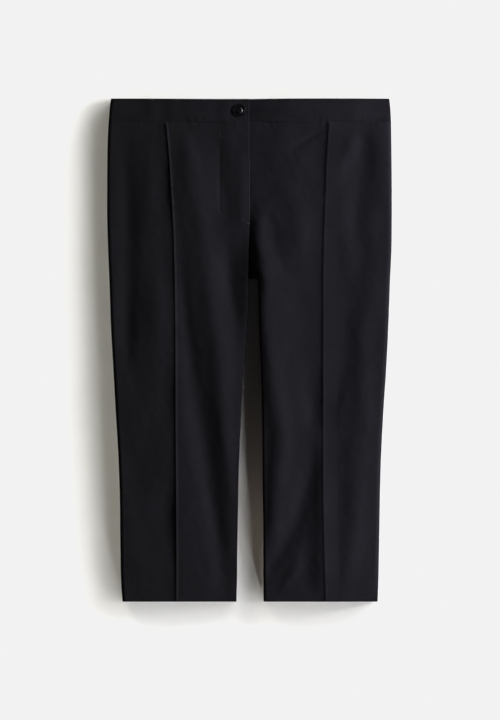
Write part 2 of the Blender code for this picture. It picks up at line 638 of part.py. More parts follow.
def add_button():
    """Dished button with four sewing holes, and the thread stem that holds it to the underlap."""
    centre = (BUTTON_X, LENGTH / 2.0 - BUTTON_DROP)
    under = OVERLAP_BAND_HEIGHT + GAP
    mesh = bmesh.new()
    line = [mesh.verts.new((MM * point.radius, 0.0, MM * point.height)) for point in BUTTON_PROFILE]
    edges = [mesh.edges.new(pair) for pair in zip(line, line[1:])]
    bmesh.ops.spin(mesh, geom=line + edges, cent=(0, 0, 0), axis=(0, 0, 1), angle=math.tau,
                   steps=BUTTON_SEGMENTS, use_merge=True)
    bmesh.ops.remove_doubles(mesh, verts=mesh.verts, dist=MM * 0.01)
    bmesh.ops.recalc_face_normals(mesh, faces=mesh.faces)
    bmesh.ops.translate(mesh, verts=mesh.verts, vec=(MM * centre[0], MM * centre[1], MM * under))
    plastic = plain_material("button_plastic", BUTTON_COLOUR, 0.18)
    button = finish_object("button", mesh, plastic)
    reach_of_cut = (under - CUTTER_DEPTH, under + CUTTER_DEPTH)
    for k in range(4):
        turn = math.radians(45.0 + 90.0 * k)
        hole = (centre[0] + HOLE_RING * math.cos(turn), centre[1] + HOLE_RING * math.sin(turn))
        guide = cylinder(f"hole_guide_{k}", HOLE_RADIUS, reach_of_cut, hole, HOLE_SEGMENTS, plastic)
        cut(button, guide)
    thread = plain_material("button_stem_thread", CLOTH_COLOUR, 0.7)
    reach_of_stem = (UNDERLAP_BAND_HEIGHT + GAP, under - GAP)
    cylinder("button_stem", STEM_RADIUS, reach_of_stem, centre, STEM_SEGMENTS, thread)


def cut_buttonhole(band):
    """Cut the slot that the button's stem stands in; it runs on from the stem to the side."""
    mesh = bmesh.new()
    bmesh.ops.create_cube(mesh, size=1.0)
    size = (MM * BUTTONHOLE_LENGTH, MM * BUTTONHOLE_WIDTH, MM * 2.0 * CUTTER_DEPTH)
    bmesh.ops.scale(mesh, verts=mesh.verts, vec=size)
    x = BUTTON_X + STEM_RADIUS + STEM_CLEARANCE - BUTTONHOLE_LENGTH / 2.0
    middle = (MM * x, MM * (LENGTH / 2.0 - BUTTON_DROP), MM * OVERLAP_BAND_HEIGHT)
    bmesh.ops.translate(mesh, verts=mesh.verts, vec=middle)
    cut(band, finish_object("buttonhole_guide", mesh, band.data.materials[0]))


def clear_scene():
    """Remove every object that the scene starts with."""
    for item in list(bpy.data.objects):
        bpy.data.objects.remove(item, do_unlink=True)


def main():
    """Build the garment."""
    clear_scene()
    garment = bpy.data.objects.new("capri_pants", None)
    bpy.context.scene.collection.objects.link(garment)
    for leg in (RIGHT, LEFT):
        add_front(leg)
        add_back(leg)
        band = add_front_band(leg)
        if leg is RIGHT:
            cut_buttonhole(band)
    add_back_band()
    add_zip()
    add_button()


main()
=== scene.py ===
"""Capri pants laid flat with their front up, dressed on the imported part's frame.

The waist lies at +Y and the hems at -Y, and the wearer's right leg is at -X. Sizes are in millimetres
and meshes are made in metres. A place on a leg is given by its drop, measured down from the top edge
of the waistband, and by its reach, measured sideways from the middle and positive towards the side seam.
"""

import logging
import math
from abc import ABC, abstractmethod
from collections.abc import Sequence
from dataclasses import dataclass
from enum import Enum
from typing import Any, ClassVar, NamedTuple

import bmesh
import bpy
import numpy as np
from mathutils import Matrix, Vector

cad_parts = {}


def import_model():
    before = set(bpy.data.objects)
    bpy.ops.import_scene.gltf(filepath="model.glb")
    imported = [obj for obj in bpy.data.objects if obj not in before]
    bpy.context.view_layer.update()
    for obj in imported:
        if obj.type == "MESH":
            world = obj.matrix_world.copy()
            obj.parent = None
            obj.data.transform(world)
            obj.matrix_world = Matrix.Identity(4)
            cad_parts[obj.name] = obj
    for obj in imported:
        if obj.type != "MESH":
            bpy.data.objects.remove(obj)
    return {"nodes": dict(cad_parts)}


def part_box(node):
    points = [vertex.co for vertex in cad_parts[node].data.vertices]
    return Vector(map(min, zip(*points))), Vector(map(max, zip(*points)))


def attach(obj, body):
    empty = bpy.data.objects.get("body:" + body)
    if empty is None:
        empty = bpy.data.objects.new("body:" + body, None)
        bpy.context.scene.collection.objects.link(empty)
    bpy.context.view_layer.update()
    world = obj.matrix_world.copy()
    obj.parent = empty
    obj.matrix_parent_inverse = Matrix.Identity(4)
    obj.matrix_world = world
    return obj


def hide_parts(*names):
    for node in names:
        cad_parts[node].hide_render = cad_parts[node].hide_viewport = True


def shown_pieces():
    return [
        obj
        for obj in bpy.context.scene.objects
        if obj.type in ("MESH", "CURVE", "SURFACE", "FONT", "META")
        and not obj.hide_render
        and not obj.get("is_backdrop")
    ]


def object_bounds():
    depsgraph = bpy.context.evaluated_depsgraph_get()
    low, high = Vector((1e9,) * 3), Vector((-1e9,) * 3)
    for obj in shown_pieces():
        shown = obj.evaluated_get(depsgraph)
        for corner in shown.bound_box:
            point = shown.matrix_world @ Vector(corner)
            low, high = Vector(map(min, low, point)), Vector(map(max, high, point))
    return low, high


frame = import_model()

log = logging.getLogger("capri_pants")

Array = np.ndarray
Piece = bpy.types.Object
Colour = tuple[float, float, float]
Faces = tuple[Array, Array]   # points of a wall's outer and inner faces
Tube = tuple[Array, Array]    # points, and quads of their numbers

MM = 0.001
CAD_LOW, CAD_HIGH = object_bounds()
TOP = CAD_HIGH.y / MM
LENGTH = (CAD_HIGH.y - CAD_LOW.y) / MM + 0.8   # the hem's soft edge settles a little further down
BAND_DROP = (CAD_HIGH.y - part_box("front_left")[1].y) / MM
BUTTON_LOW, BUTTON_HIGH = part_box("button")
BUTTON_MIDDLE = (BUTTON_LOW + BUTTON_HIGH) / 2.0
UP = np.array([0.0, 0.0, 1.0])
GAP = 0.3                 # kept between two pieces that meet
SEAM_GAP = 0.05           # between the waistband and the panels sewn to it

CROTCH_DROP = 288.6
BODY_END_DROP = CROTCH_DROP - 1.0
LEG_START_DROP = CROTCH_DROP + 0.8
LAP_EDGE = 0.4            # x of the lap's folded edge
LAP_END_DROP = 197.0
VALLEY_START_DROP = 203.0
UNDERLAP = 6.0            # how far the left front runs on under the lap
UNDERLAP_END_DROP = 188.0
FLY_BEND_DROP = 172.0     # where the row of stitches beside the fly starts to curve
FLY_BEND = 28.0
HEM_LINE = 12.0           # from the hem's edge up to its stitches
SEAM_HEIGHT = 3.2
HEM_SEAM_HEIGHT = 2.0
SEAM_FALL_DROP = 640.0    # where the seams start to come down towards the hems
SEAM_FALL = 140.0
EDGE_ROLL = 5.0
LEFT_EDGE_ROLL = 0.3      # the left side is pressed to a crisp edge
BACK_ROLL = 4.0


class Leg(Enum):
    """One half of the garment; its value is the way that its reach runs along X."""

    RIGHT = -1
    LEFT = 1

    @property
    def label(self) -> str:
        """Name of the half as the part's nodes have it."""
        return self.name.lower()


class Pair(NamedTuple):
    """X of the same line on both halves, at one drop."""

    drop: float
    right: float
    left: float


class Fork(NamedTuple):
    """The dip between the legs at one drop: its two rims, its seam and the seam's height."""

    drop: float
    right: float
    left: float
    seam: float
    floor: float


class Slope(NamedTuple):
    """How the left front goes down at its inner edge, at one drop."""

    drop: float
    start: float
    width: float
    low: float


class Body(NamedTuple):
    """Height of a front between its folds, at one drop: at its side, middle and inner edge."""

    drop: float
    side: float
    middle: float
    inner: float


class Fold(NamedTuple):
    """A soft ridge, or a trough, at one drop: the x of its middle, half its width and its height."""

    drop: float
    x: float
    half_width: float
    height: float


class Turned(NamedTuple):
    """A point of a turned profile: its distance from the axis and its height."""

    radius: float
    height: float


class Sun(NamedTuple):
    """A far soft light: its place and width in degrees, and its share of the floor's light."""

    azimuth: float
    elevation: float
    width: float
    share: float


def table(kind: type, rows: Sequence[Sequence[float]]) -> tuple[Any, ...]:
    """Rows of one kind from their plain numbers."""
    return tuple(kind(*row) for row in rows)


def folds(rows: dict[str, Sequence[Sequence[float]]]) -> tuple[tuple[Fold, ...], ...]:
    """Folds of one panel, each followed down the leg, from their names and plain numbers."""
    return tuple(table(Fold, fold) for fold in rows.values())


SIDE_SEAMS = table(Pair, (
    (0, -220.4, 225.1), (12, -222.2, 226.4), (31, -223.9, 227.6), (74, -226, 228.3), (122, -226.6, 228.8),
    (194, -226.5, 228.9), (242, -225.2, 228.4), (290, -223.1, 226.2), (362, -220.7, 223.5),
    (434, -216.7, 219.9), (506, -212.7, 215.2), (578, -208.5, 211.6), (626, -206.8, 210.2),
    (722, -205.5, 208.6), (786, -203.8, 207.2), (804.6, -202.2, 206.4),
))
INSEAMS = table(Pair, (
    (288, -1, 15.1), (322, -1.2, 15.6), (380, -4.3, 17.2), (437, -8.7, 19.6), (476, -11.2, 20.7),
    (530, -13.2, 21.7), (602, -16.1, 22), (640, -16.8, 22.4), (683, -17.6, 23.2), (724, -18.3, 23.3),
    (770, -18.7, 23.3), (804.6, -19.6, 23.7),
))
CREASES = table(Pair, (
    (37, -132.6, 128.8), (60, -130.2, 127.2), (98, -126.8, 124.7), (146, -124, 122.9), (203, -120.6, 121),
    (258, -118.8, 119.5), (355, -117.3, 119), (515, -116.8, 119), (643, -116, 119.4), (740, -115.6, 121.4),
    (804.6, -115.6, 123.4),
))
BACK_SEAM = table(Pair, (
    (0, 1, 1), (120, 1.6, 1.6), (226, 5, 5), (289, 7.1, 7.1),
))
FORK = table(Fork, (
    (203, 1.4, 2.1, 1.8, 4.3), (226, 0.5, 1.4, 1.1, 4.2), (245, -0.4, 1.6, 1.2, 4), (258, -0.6, 3, 2.4, 3.8),
    (268, -0.8, 8, 4.6, 3.5), (278, -1, 13, 6.2, 3.4), (289, -1.1, 15.3, 7.1, 3.4),
))
INNER_ROLLS = table(Pair, (
    # Width of the rolled edge between the legs.
    (203, 0.12, 1), (245, 0.12, 1.2), (258, 0.12, 2.5), (289, 0.12, 3.5), (400, 0.15, 3.5), (600, 0.3, 3.5),
    (700, 0.5, 3.8), (804.6, 0.8, 5),
))
LEFT_SLOPES = table(Slope, (
    # Where the left front goes down towards the lap, and below it towards the inseam.
    (37, 2, 60, 4.7), (120, 2, 60, 4.7), (197, 2, 21, 4.7), (211, 1, 22, 4.7), (235, 1, 21, 4.7),
    (259, 2, 26, 4.9), (275, 7, 21, 6.2), (289, 15.3, 16, 7.6), (330, 15.8, 14, 8.4), (380, 17.2, 16, 8.1),
    (437, 19.6, 19, 7.8), (476, 20.7, 19, 7.6), (530, 21.7, 19, 6.9), (640, 22.4, 17, 6.8),
    (700, 23.2, 13, 5.9), (760, 23.3, 10, 4.9), (804.6, 24.2, 10, 4.2),
))
CREASE_LEANS = table(Pair, (
    # How far the cloth climbs towards each crease from the wearer's right of it.
    (37, 0.3, 0.3), (100, 0.6, 0.3), (146, 0.8, 0.3), (202, 0.4, 0.3), (290, 0.5, 0.3), (387, 0.6, 0.4),
    (451, 0.7, 0.45), (530, 0.5, 0.5), (611, 0.85, 0.5), (690, 0.95, 0.4), (770, 0.4, 0.3),
    (804.6, 0.3, 0.3),
))
BODIES = {
    Leg.RIGHT: table(Body, (
        (37, 5.3, 6, 6.4), (160, 5.6, 6.7, 6.5), (203, 5.9, 6.6, 6.2), (250, 6.3, 6.5, 6.1),
        (330, 6.3, 6.6, 6), (430, 6.2, 6.9, 6.2), (520, 6.1, 6.8, 6), (640, 5.7, 5.8, 6.2),
        (700, 5.6, 5.3, 5), (760, 5.3, 5, 3.9), (804.6, 4.6, 4.4, 3.9),
    )),
    Leg.LEFT: table(Body, (
        (37, 7, 5.7, 6.6), (160, 7.7, 5.8, 6.4), (190, 7.9, 6, 6.5), (215, 8, 6.3, 7.8),
        (250, 8.1, 6.4, 9.3), (330, 8.3, 6.4, 10.2), (430, 8.1, 6.5, 9.6), (480, 8.1, 6.6, 9),
        (520, 8, 6.7, 7.6), (640, 7.2, 6.7, 7.2), (760, 4.9, 5.8, 4.9), (804.6, 4, 4.5, 4.2),
    )),
}
FRONT_FOLDS = {
    Leg.RIGHT: folds({
        # From the side seam inwards.
        "side trough": (
            (45, -196, 14, 0), (100, -197, 15, -0.7), (235, -194, 17, -1.5), (370, -196, 16, -1.6),
            (460, -194, 13, 0)),
        "side edge": ((70, -226, 17, 0), (130, -227, 18, -0.4), (400, -221, 16, -0.4), (470, -217, 14, 0)),
        "outer ridge": (
            (45, -158, 13, 0), (105, -158, 12, 0.35), (235, -153, 15, 0.15), (355, -148, 17, 0.8),
            (480, -146, 17, 0)),
        "thigh ridge": (
            (47, -104, 12, 0), (83, -96, 17, 1.1), (130, -84, 21, 1.5), (203, -74, 16, 1.5),
            (240, -70, 19, 1.6), (343, -59, 22, 2.2), (400, -51, 22, 2.35), (483, -43, 17, 2),
            (563, -36, 13, 1.05), (660, -24, 9, 0)),
        "thigh foot": (
            (55, -102, 17, 0), (90, -101, 18, 0.35), (200, -98, 19, 0.65), (260, -96, 20, 0.65),
            (320, -92, 18, 0.3), (370, -88, 16, 0)),
        "fly trough": (
            (47, -62, 12, 0), (83, -47, 14, -0.5), (130, -41, 14, -0.8), (187, -32, 12, -0.8),
            (215, -34, 12, -0.4), (258, -33, 14, -1.2), (323, -27, 10, -0.6), (370, -18, 8, 0)),
        "inner lip": (
            (205, 4, 13, 0), (235, 4, 14, 0.9), (262, 4, 15, 1.5), (300, 4, 16, 1.8), (345, 1, 15, 1.6),
            (378, -3, 13, 0.8), (405, -6, 11, 0)),
        "upper slant": (
            (165, -115, 8, 0), (243, -108, 10, -0.4), (343, -102, 11, -1), (418, -91, 13, -1),
            (465, -86, 11, 0)),
        "shin slant": (
            (370, -113, 13, 0), (450, -91, 17, -1.1), (530, -76, 19, -1.85), (620, -61, 17, -1.9),
            (690, -51, 14, -1.5), (762, -43, 15, -0.9), (804.6, -43, 15, -0.6)),
    }),
    Leg.LEFT: folds({
        # From the inner edge outwards.
        "crotch trough": (
            (175, 22, 8, 0), (203, 36, 13, -0.7), (236, 41, 16, -1.1), (262, 50, 14, -0.6), (290, 66, 14, 0)),
        "crotch ridge": ((130, 69, 16, 0), (170, 77, 20, 0.9), (220, 81, 16, 1), (260, 80, 11, 0)),
        "thigh hollow": (
            (250, 66, 19, 0), (322, 78, 22, -0.6), (400, 86, 20, -0.4), (450, 100, 19, -0.7),
            (500, 102, 16, -1.4), (545, 101, 13, 0)),
        "shin ridge": (
            (385, 31, 11, 0), (450, 40, 15, 0.7), (530, 51, 18, 1.7), (615, 46, 16, 1.75),
            (670, 41, 13, 1.2), (720, 42, 12, 0)),
        "shin slant": (
            (530, 100, 10, 0), (580, 97, 14, -0.7), (615, 92, 13, -1), (660, 80, 16, -1.4),
            (707, 62, 17, -1.4), (755, 34, 13, -0.8), (780, 24, 11, 0)),
        "crease rise": (
            (545, 116, 11, 0), (610, 116, 10, 0.9), (690, 117, 13, 1.5), (747, 118, 16, 1.4),
            (800, 116, 14, 0)),
        "hem ridge": ((715, 82, 10, 0), (750, 75, 10, 0.6), (780, 58, 10, 0.7), (800, 55, 10, 0)),
        "waist slant": ((40, 128, 7, 0), (57, 107, 8, -0.5), (76, 78, 10, -0.6), (90, 63, 10, 0)),
        "hip slant": (
            (47, 166, 11, 0), (75, 163, 11, 0.6), (100, 151, 11, 0.6), (140, 133, 11, 0.4),
            (165, 127, 11, 0)),
        "outer trough": (
            (250, 172, 14, 0), (307, 160, 18, -0.65), (387, 151, 16, -0.25), (452, 144, 14, -0.8),
            (507, 130, 11, -0.8), (590, 128, 10, -0.3), (640, 135, 10, 0)),
        "outer ridge": (
            (262, 197, 13, 0), (322, 188, 13, 0.4), (452, 181, 18, 0.9), (547, 175, 21, 1.2),
            (643, 169, 20, 1.6), (752, 160, 15, 1), (790, 156, 13, 0)),
        "side trough": (
            (37, 180, 12, -0.3), (98, 183, 18, -2), (163, 177, 20, -1.5), (243, 178, 18, -0.6),
            (290, 181, 13, 0)),
    }),
}
FLY_FOLDS = folds({
    "fly edge rise": (
        (70, -12, 10, 0), (110, -12, 10, 0.4), (160, -11, 9, 0.4), (200, -11, 9, 0.3), (215, -11, 9, 0)),
})
BACK_FOLDS = {
    # Troughs and ridges of the backs lift the cloth off the surface that it lies on.
    Leg.RIGHT: folds({
        "seat sweep": (
            (90, -70, 15, 0), (180, -84, 17, 1.4), (300, -96, 18, 1.9), (430, -98, 16, 1.1),
            (520, -96, 14, 0)),
        "knee slant": (
            (380, -150, 13, 0), (470, -136, 15, 1.4), (590, -112, 16, 1.8), (700, -92, 14, 0.9),
            (770, -84, 12, 0)),
        "side ripple": ((120, -178, 12, 0), (220, -176, 14, 1.2), (330, -172, 14, 0.9), (420, -170, 12, 0)),
    }),
    Leg.LEFT: folds({
        "seat sweep": (
            (100, 66, 14, 0), (190, 82, 17, 1.6), (310, 92, 18, 1.5), (410, 104, 15, 0.8), (500, 108, 13, 0)),
        "knee slant": (
            (400, 160, 13, 0), (500, 148, 15, 1.6), (610, 120, 16, 1.6), (720, 88, 14, 1), (775, 76, 12, 0)),
        "side ripple": ((140, 184, 12, 0), (240, 180, 14, 1.3), (350, 182, 14, 0.8), (450, 180, 12, 0)),
    }),
}


def ease(share: Array | float) -> Array:
    """Smooth step from 0 to 1, level at both ends."""
    share = np.clip(share, 0.0, 1.0)
    return share * share * (3.0 - 2.0 * share)


def mix(low: Any, high: Any, share: Any) -> Any:
    """Value a share of the way from low to high."""
    return low + (high - low) * share


def near(distance: Array, width: Array | float) -> Array:
    """Straight fall from 1 at a line to 0 a width away from it."""
    return np.clip(1.0 - distance / width, 0.0, 1.0)


def rounded(distance: Array, width: float) -> Array:
    """How far a round edge has turned down: 1 at its end, and 0 from a width away."""
    return 1.0 - np.sqrt(1.0 - near(distance, width) ** 2)


def bell(away: Array) -> Array:
    """Round hump, 1 high at 0 and nearly gone at 2."""
    return np.exp(-np.square(away))


def seam_height(drop: Array) -> Array:
    """Height of the side seams and inseams, which come down towards the hems."""
    return mix(SEAM_HEIGHT, HEM_SEAM_HEIGHT, ease((drop - SEAM_FALL_DROP) / SEAM_FALL))


def along(rows: Sequence[Any], drop: Array | float, column: str) -> Array:
    """Values of a table's column on a smooth curve through its rows.

    Args:
        rows: rows of the table, each with a drop.
        drop: drops at which the values are wanted.
        column: name of the column.

    Returns:
        One value for each drop.
    """
    drops = np.array([row.drop for row in rows])
    values = np.array([getattr(row, column) for row in rows], float)
    slopes = np.gradient(values, drops)
    drop = np.clip(drop, drops[0], drops[-1])
    k = np.clip(np.searchsorted(drops, drop, side="right") - 1, 0, len(rows) - 2)
    span = drops[k + 1] - drops[k]
    t = (drop - drops[k]) / span
    start = t * (1.0 - t) ** 2 * span * slopes[k]
    end = t * t * (t - 1.0) * span * slopes[k + 1]
    return mix(values[k], values[k + 1], ease(t)) + start + end


def folds_at(panel_folds: Sequence[Sequence[Fold]], leg: Leg, reach: Array, drop: Array) -> Array:
    """Height that a panel's folds add.

    Args:
        panel_folds: the folds, each as its rows down the leg.
        leg: the half that the panel is on.
        reach: reaches of the places.
        drop: drops of the places, in a shape that spreads over reach.

    Returns:
        Heights in the shape of reach.
    """
    total = np.zeros(np.broadcast(reach, drop).shape)
    for fold in panel_folds:
        inside = (drop > fold[0].drop) & (drop < fold[-1].drop)
        across = (leg.value * reach - along(fold, drop, "x")) / along(fold, drop, "half_width")
        total = total + inside * along(fold, drop, "height") * bell(across)
    return total


@dataclass(frozen=True)
class Ripples:
    """Small uneven waves that cloth keeps wherever it lies.

    Each wave runs in its own direction; seed chooses them, and rms is their height together.
    """

    seed: int
    shortest: float
    longest: float
    rms: float
    count: int = 26
    lengthwise: float = 1.6

    def at(self, x: Array, drop: Array) -> Array:
        """Height of the waves at places given by their x and drop."""
        chance = np.random.default_rng(self.seed)
        total = np.zeros(np.broadcast(x, drop).shape)
        for _ in range(self.count):
            length = self.shortest * (self.longest / self.shortest) ** chance.random()
            turn = chance.uniform(0.0, math.pi)
            phase = chance.uniform(0.0, math.tau)
            run = x * math.cos(turn) + drop * math.sin(turn) / self.lengthwise
            total = total + np.sin(math.tau * run / length + phase)
        return total * self.rms * math.sqrt(2.0 / self.count)


@dataclass(frozen=True)
class Puckers:
    """Short gathers where sewing draws the cloth in, strongest at the stitches."""

    seed: int
    pitch: float
    depth: float
    fade: float

    def at(self, run: Array, away: Array) -> Array:
        """Height of the gathers at a run along the seam and a distance away from it."""
        chance = np.random.default_rng(self.seed)
        total = np.zeros(np.broadcast(run, away).shape)
        for _ in range(5):
            pitch = self.pitch * chance.uniform(0.7, 1.6)
            phase = chance.uniform(0.0, math.tau)
            total = total + np.sin(math.tau * run / pitch + phase) * chance.uniform(0.5, 1.0)
        swell = 0.55 + 0.45 * np.sin(math.tau * run / (self.pitch * 7.3) + chance.uniform(0.0, math.tau))
        return self.depth * 0.5 * total * swell * bell(away / self.fade)


def world(leg: Leg, reach: Array, drop: Array, height: Array) -> Array:
    """Points in millimetres of places on one half.

    Args:
        leg: the half.
        reach: reaches, in the grid's shape.
        drop: drops, in a shape that spreads over the grid.
        height: heights above the surface that the garment lies on.

    Returns:
        An array with a last axis of X, Y and Z.
    """
    reach, drop, height = np.broadcast_arrays(reach, drop, height)
    return np.stack([leg.value * reach, TOP - drop, height], axis=-1)


def linked(name: str, data: bpy.types.ID) -> Piece:
    """New object in the scene that has the given data."""
    piece = bpy.data.objects.new(name, data)
    bpy.context.scene.collection.objects.link(piece)
    return piece


def shaded(piece: Piece, sharp: float) -> Piece:
    """Shade an object smooth, apart from edges sharper than an angle in degrees, and hand it on."""
    piece.data.shade_smooth()
    piece.data.set_sharp_from_angle(angle=math.radians(sharp))
    return piece


def mesh_object(name: str, points: Array, faces: Array, sharp: float = 50.0) -> Piece:
    """Make a smooth-shaded object.

    Args:
        name: name of the object.
        points: points in millimetres, one a row.
        faces: corner indices, one face a row.
        sharp: angle in degrees above which an edge stays sharp.

    Returns:
        The new object, linked to the scene.
    """
    data = bpy.data.meshes.new(name)
    data.from_pydata((points.reshape(-1, 3) * MM).tolist(), [], faces.tolist())
    data.validate()
    return shaded(linked(name, data), sharp)


def apply_modifiers(piece: Piece) -> None:
    """Make an object's modifiers part of its mesh."""
    graph = bpy.context.evaluated_depsgraph_get()
    data = bpy.data.meshes.new_from_object(piece.evaluated_get(graph))
    old = piece.data
    piece.modifiers.clear()
    piece.data = data
    bpy.data.meshes.remove(old)


def cut(piece: Piece, cutters: Sequence[Piece]) -> None:
    """Cut the forms of other objects out of one, and remove them."""
    for cutter in cutters:
        slot = piece.modifiers.new("cut", "BOOLEAN")
        slot.operation = "DIFFERENCE"
        slot.object = cutter
    apply_modifiers(piece)
    for cutter in cutters:
        bpy.data.objects.remove(cutter, do_unlink=True)


def grid_faces(rows: int, columns: int, start: int = 0, flip: bool = False) -> Array:
    """Quads of a grid of points that are numbered row by row."""
    r, c = np.meshgrid(np.arange(rows - 1), np.arange(columns - 1), indexing="ij")
    corner = start + (r * columns + c).ravel()
    quads = np.stack([corner, corner + columns, corner + columns + 1, corner + 1], axis=1)
    return quads[:, ::-1] if flip else quads


def cloth_wall(name: str, faces: Faces, mirrored: bool) -> Piece:
    """Close two grids of points into one wall of cloth.

    Args:
        name: name of the object.
        faces: points of the outer and inner faces, each rows by columns by 3, in millimetres.
        mirrored: True where the grid runs the other way round, so that faces still look out.

    Returns:
        The wall as an object.
    """
    rows, columns = faces[0].shape[:2]
    count = rows * columns
    number = np.arange(count).reshape(rows, columns)
    rim = np.concatenate([number[:, 0], number[-1, 1:], number[-2::-1, -1], number[0, -2:0:-1]])
    after = np.roll(rim, -1)
    edge = np.stack([rim, rim + count, after + count, after], axis=1)
    quads = np.concatenate([grid_faces(rows, columns), grid_faces(rows, columns, count, True), edge])
    points = np.concatenate([face.reshape(-1, 3) for face in faces])
    return mesh_object(name, points, quads[:, ::-1] if mirrored else quads)


class Columns(NamedTuple):
    """Columns of a wall, side by side: reach and height of its outer face, then of its inner face."""

    reach: Array
    height: Array
    inner_reach: Array
    inner_height: Array


def rolled(
    edge: Array, towards: float, width: float | Array, seam: float | Array, top: Array, wall: Array,
    angles: Array,
) -> Columns:
    """Rolled edge of a panel, one row for each drop.

    Args:
        edge: reach of its outermost points, as a column.
        towards: 1 or -1, the way to the flat of the panel.
        width: width of the roll, seen from above, as a number or a column.
        seam: height at its end.
        top: height at its crown, as a column.
        wall: thickness, as a column.
        angles: angles in degrees from 0 at the end to 90 at the crown.

    Returns:
        The roll's columns, in the order of the angles.
    """
    turn = np.radians(angles)[None, :]
    run = 1.0 - np.cos(turn)
    lift = np.sin(turn)
    body = top - np.copysign(wall, top - seam)
    return Columns(
        edge + towards * width * run, mix(seam, top, lift),
        edge + towards * (wall + (width - wall) * run), mix(seam, body, lift))


def below_crotch(drop: Array, leg: Columns, body: Columns) -> Columns:
    """Columns of the leg below the crotch, and of the body above it."""
    return Columns(*(np.where(drop > CROTCH_DROP, *pair) for pair in zip(leg, body)))


def wall_faces(leg: Leg, drop: Array, *parts: Columns) -> Faces:
    """Points of a wall's outer and inner faces from its columns, side seam first."""
    reach, height, inner_reach, inner_height = (np.concatenate(part, axis=1) for part in zip(*parts))
    return world(leg, reach, drop, height), world(leg, inner_reach, drop, inner_height)


def declare_cloth(
    piece: Piece, node: str, flat: tuple[float, float], rests_on: str, **measured: float,
) -> None:
    """Attach a sheet of cloth to the part's root, and hide the node that it stands for.

    Args:
        piece: the sheet's object.
        node: name of the node that it stands for.
        flat: width and length of its cut in metres; not used.
        rests_on: what it lies on; not used.
        **measured: area of its cut in square metres, where it is known; not used.
    """
    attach(piece, "root")
    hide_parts(node)


def steps(count: int) -> Array:
    """Even shares from 0 to 1, as a row."""
    return np.linspace(0.0, 1.0, count + 1)[None, :]


@dataclass(frozen=True)
class Panel(ABC):
    """Panel of one leg, from its side seam to the middle or the inseam, with a turned hem."""

    leg: Leg
    wall: float = 1.0
    hem_wall: float = 1.7
    hem_turn_up: float = 25.0
    kind: ClassVar[str] = ""
    outside_in: ClassVar[Leg] = Leg.RIGHT    # the half whose grid runs the other way round

    @property
    def node(self) -> str:
        """Name of the node that the panel stands for."""
        return f"{self.kind}_{self.leg.label}"

    @property
    def rests_on(self) -> str:
        """Name of what the panel lies on."""
        return "floor"

    @abstractmethod
    def drops(self) -> Array:
        """Drops of the grid's rows."""

    @abstractmethod
    def inner_reach(self, drop: Array) -> Array:
        """Reach of the panel's inner edge."""

    @abstractmethod
    def faces(self) -> Faces:
        """Points of the outer and inner faces, from the side seam to the inner edge."""

    def line(self, rows: Sequence[Pair | Fork], drop: Array) -> Array:
        """Reach of a line that a table has for both halves."""
        return self.leg.value * along(rows, drop, self.leg.label)

    def side_reach(self, drop: Array) -> Array:
        """Reach of the side seam."""
        return self.line(SIDE_SEAMS, drop)

    def layers(self, drop: Array) -> Array:
        """Thickness: one layer, and two at the turned hem."""
        return mix(self.wall, self.hem_wall, ease((drop - LENGTH + self.hem_turn_up + 2.0) / 4.0))

    def build(self) -> Piece:
        """Make the panel."""
        return cloth_wall(f"{self.node}_cloth", self.faces(), self.leg is self.outside_in)

    def declare(self, piece: Piece) -> None:
        """Attach the panel to the part's root and hide the node that it stands for; the size of its cut that
        it works out goes unused.
        """
        drop = self.drops()
        widths = self.side_reach(drop) - self.inner_reach(drop)
        area = float(np.sum((widths[1:] + widths[:-1]) / 2.0 * np.diff(drop)))
        flat = (float(widths.max()) * MM, (LENGTH - BAND_DROP) * MM)
        declare_cloth(piece, self.node, flat, self.rests_on, area=area * MM * MM)


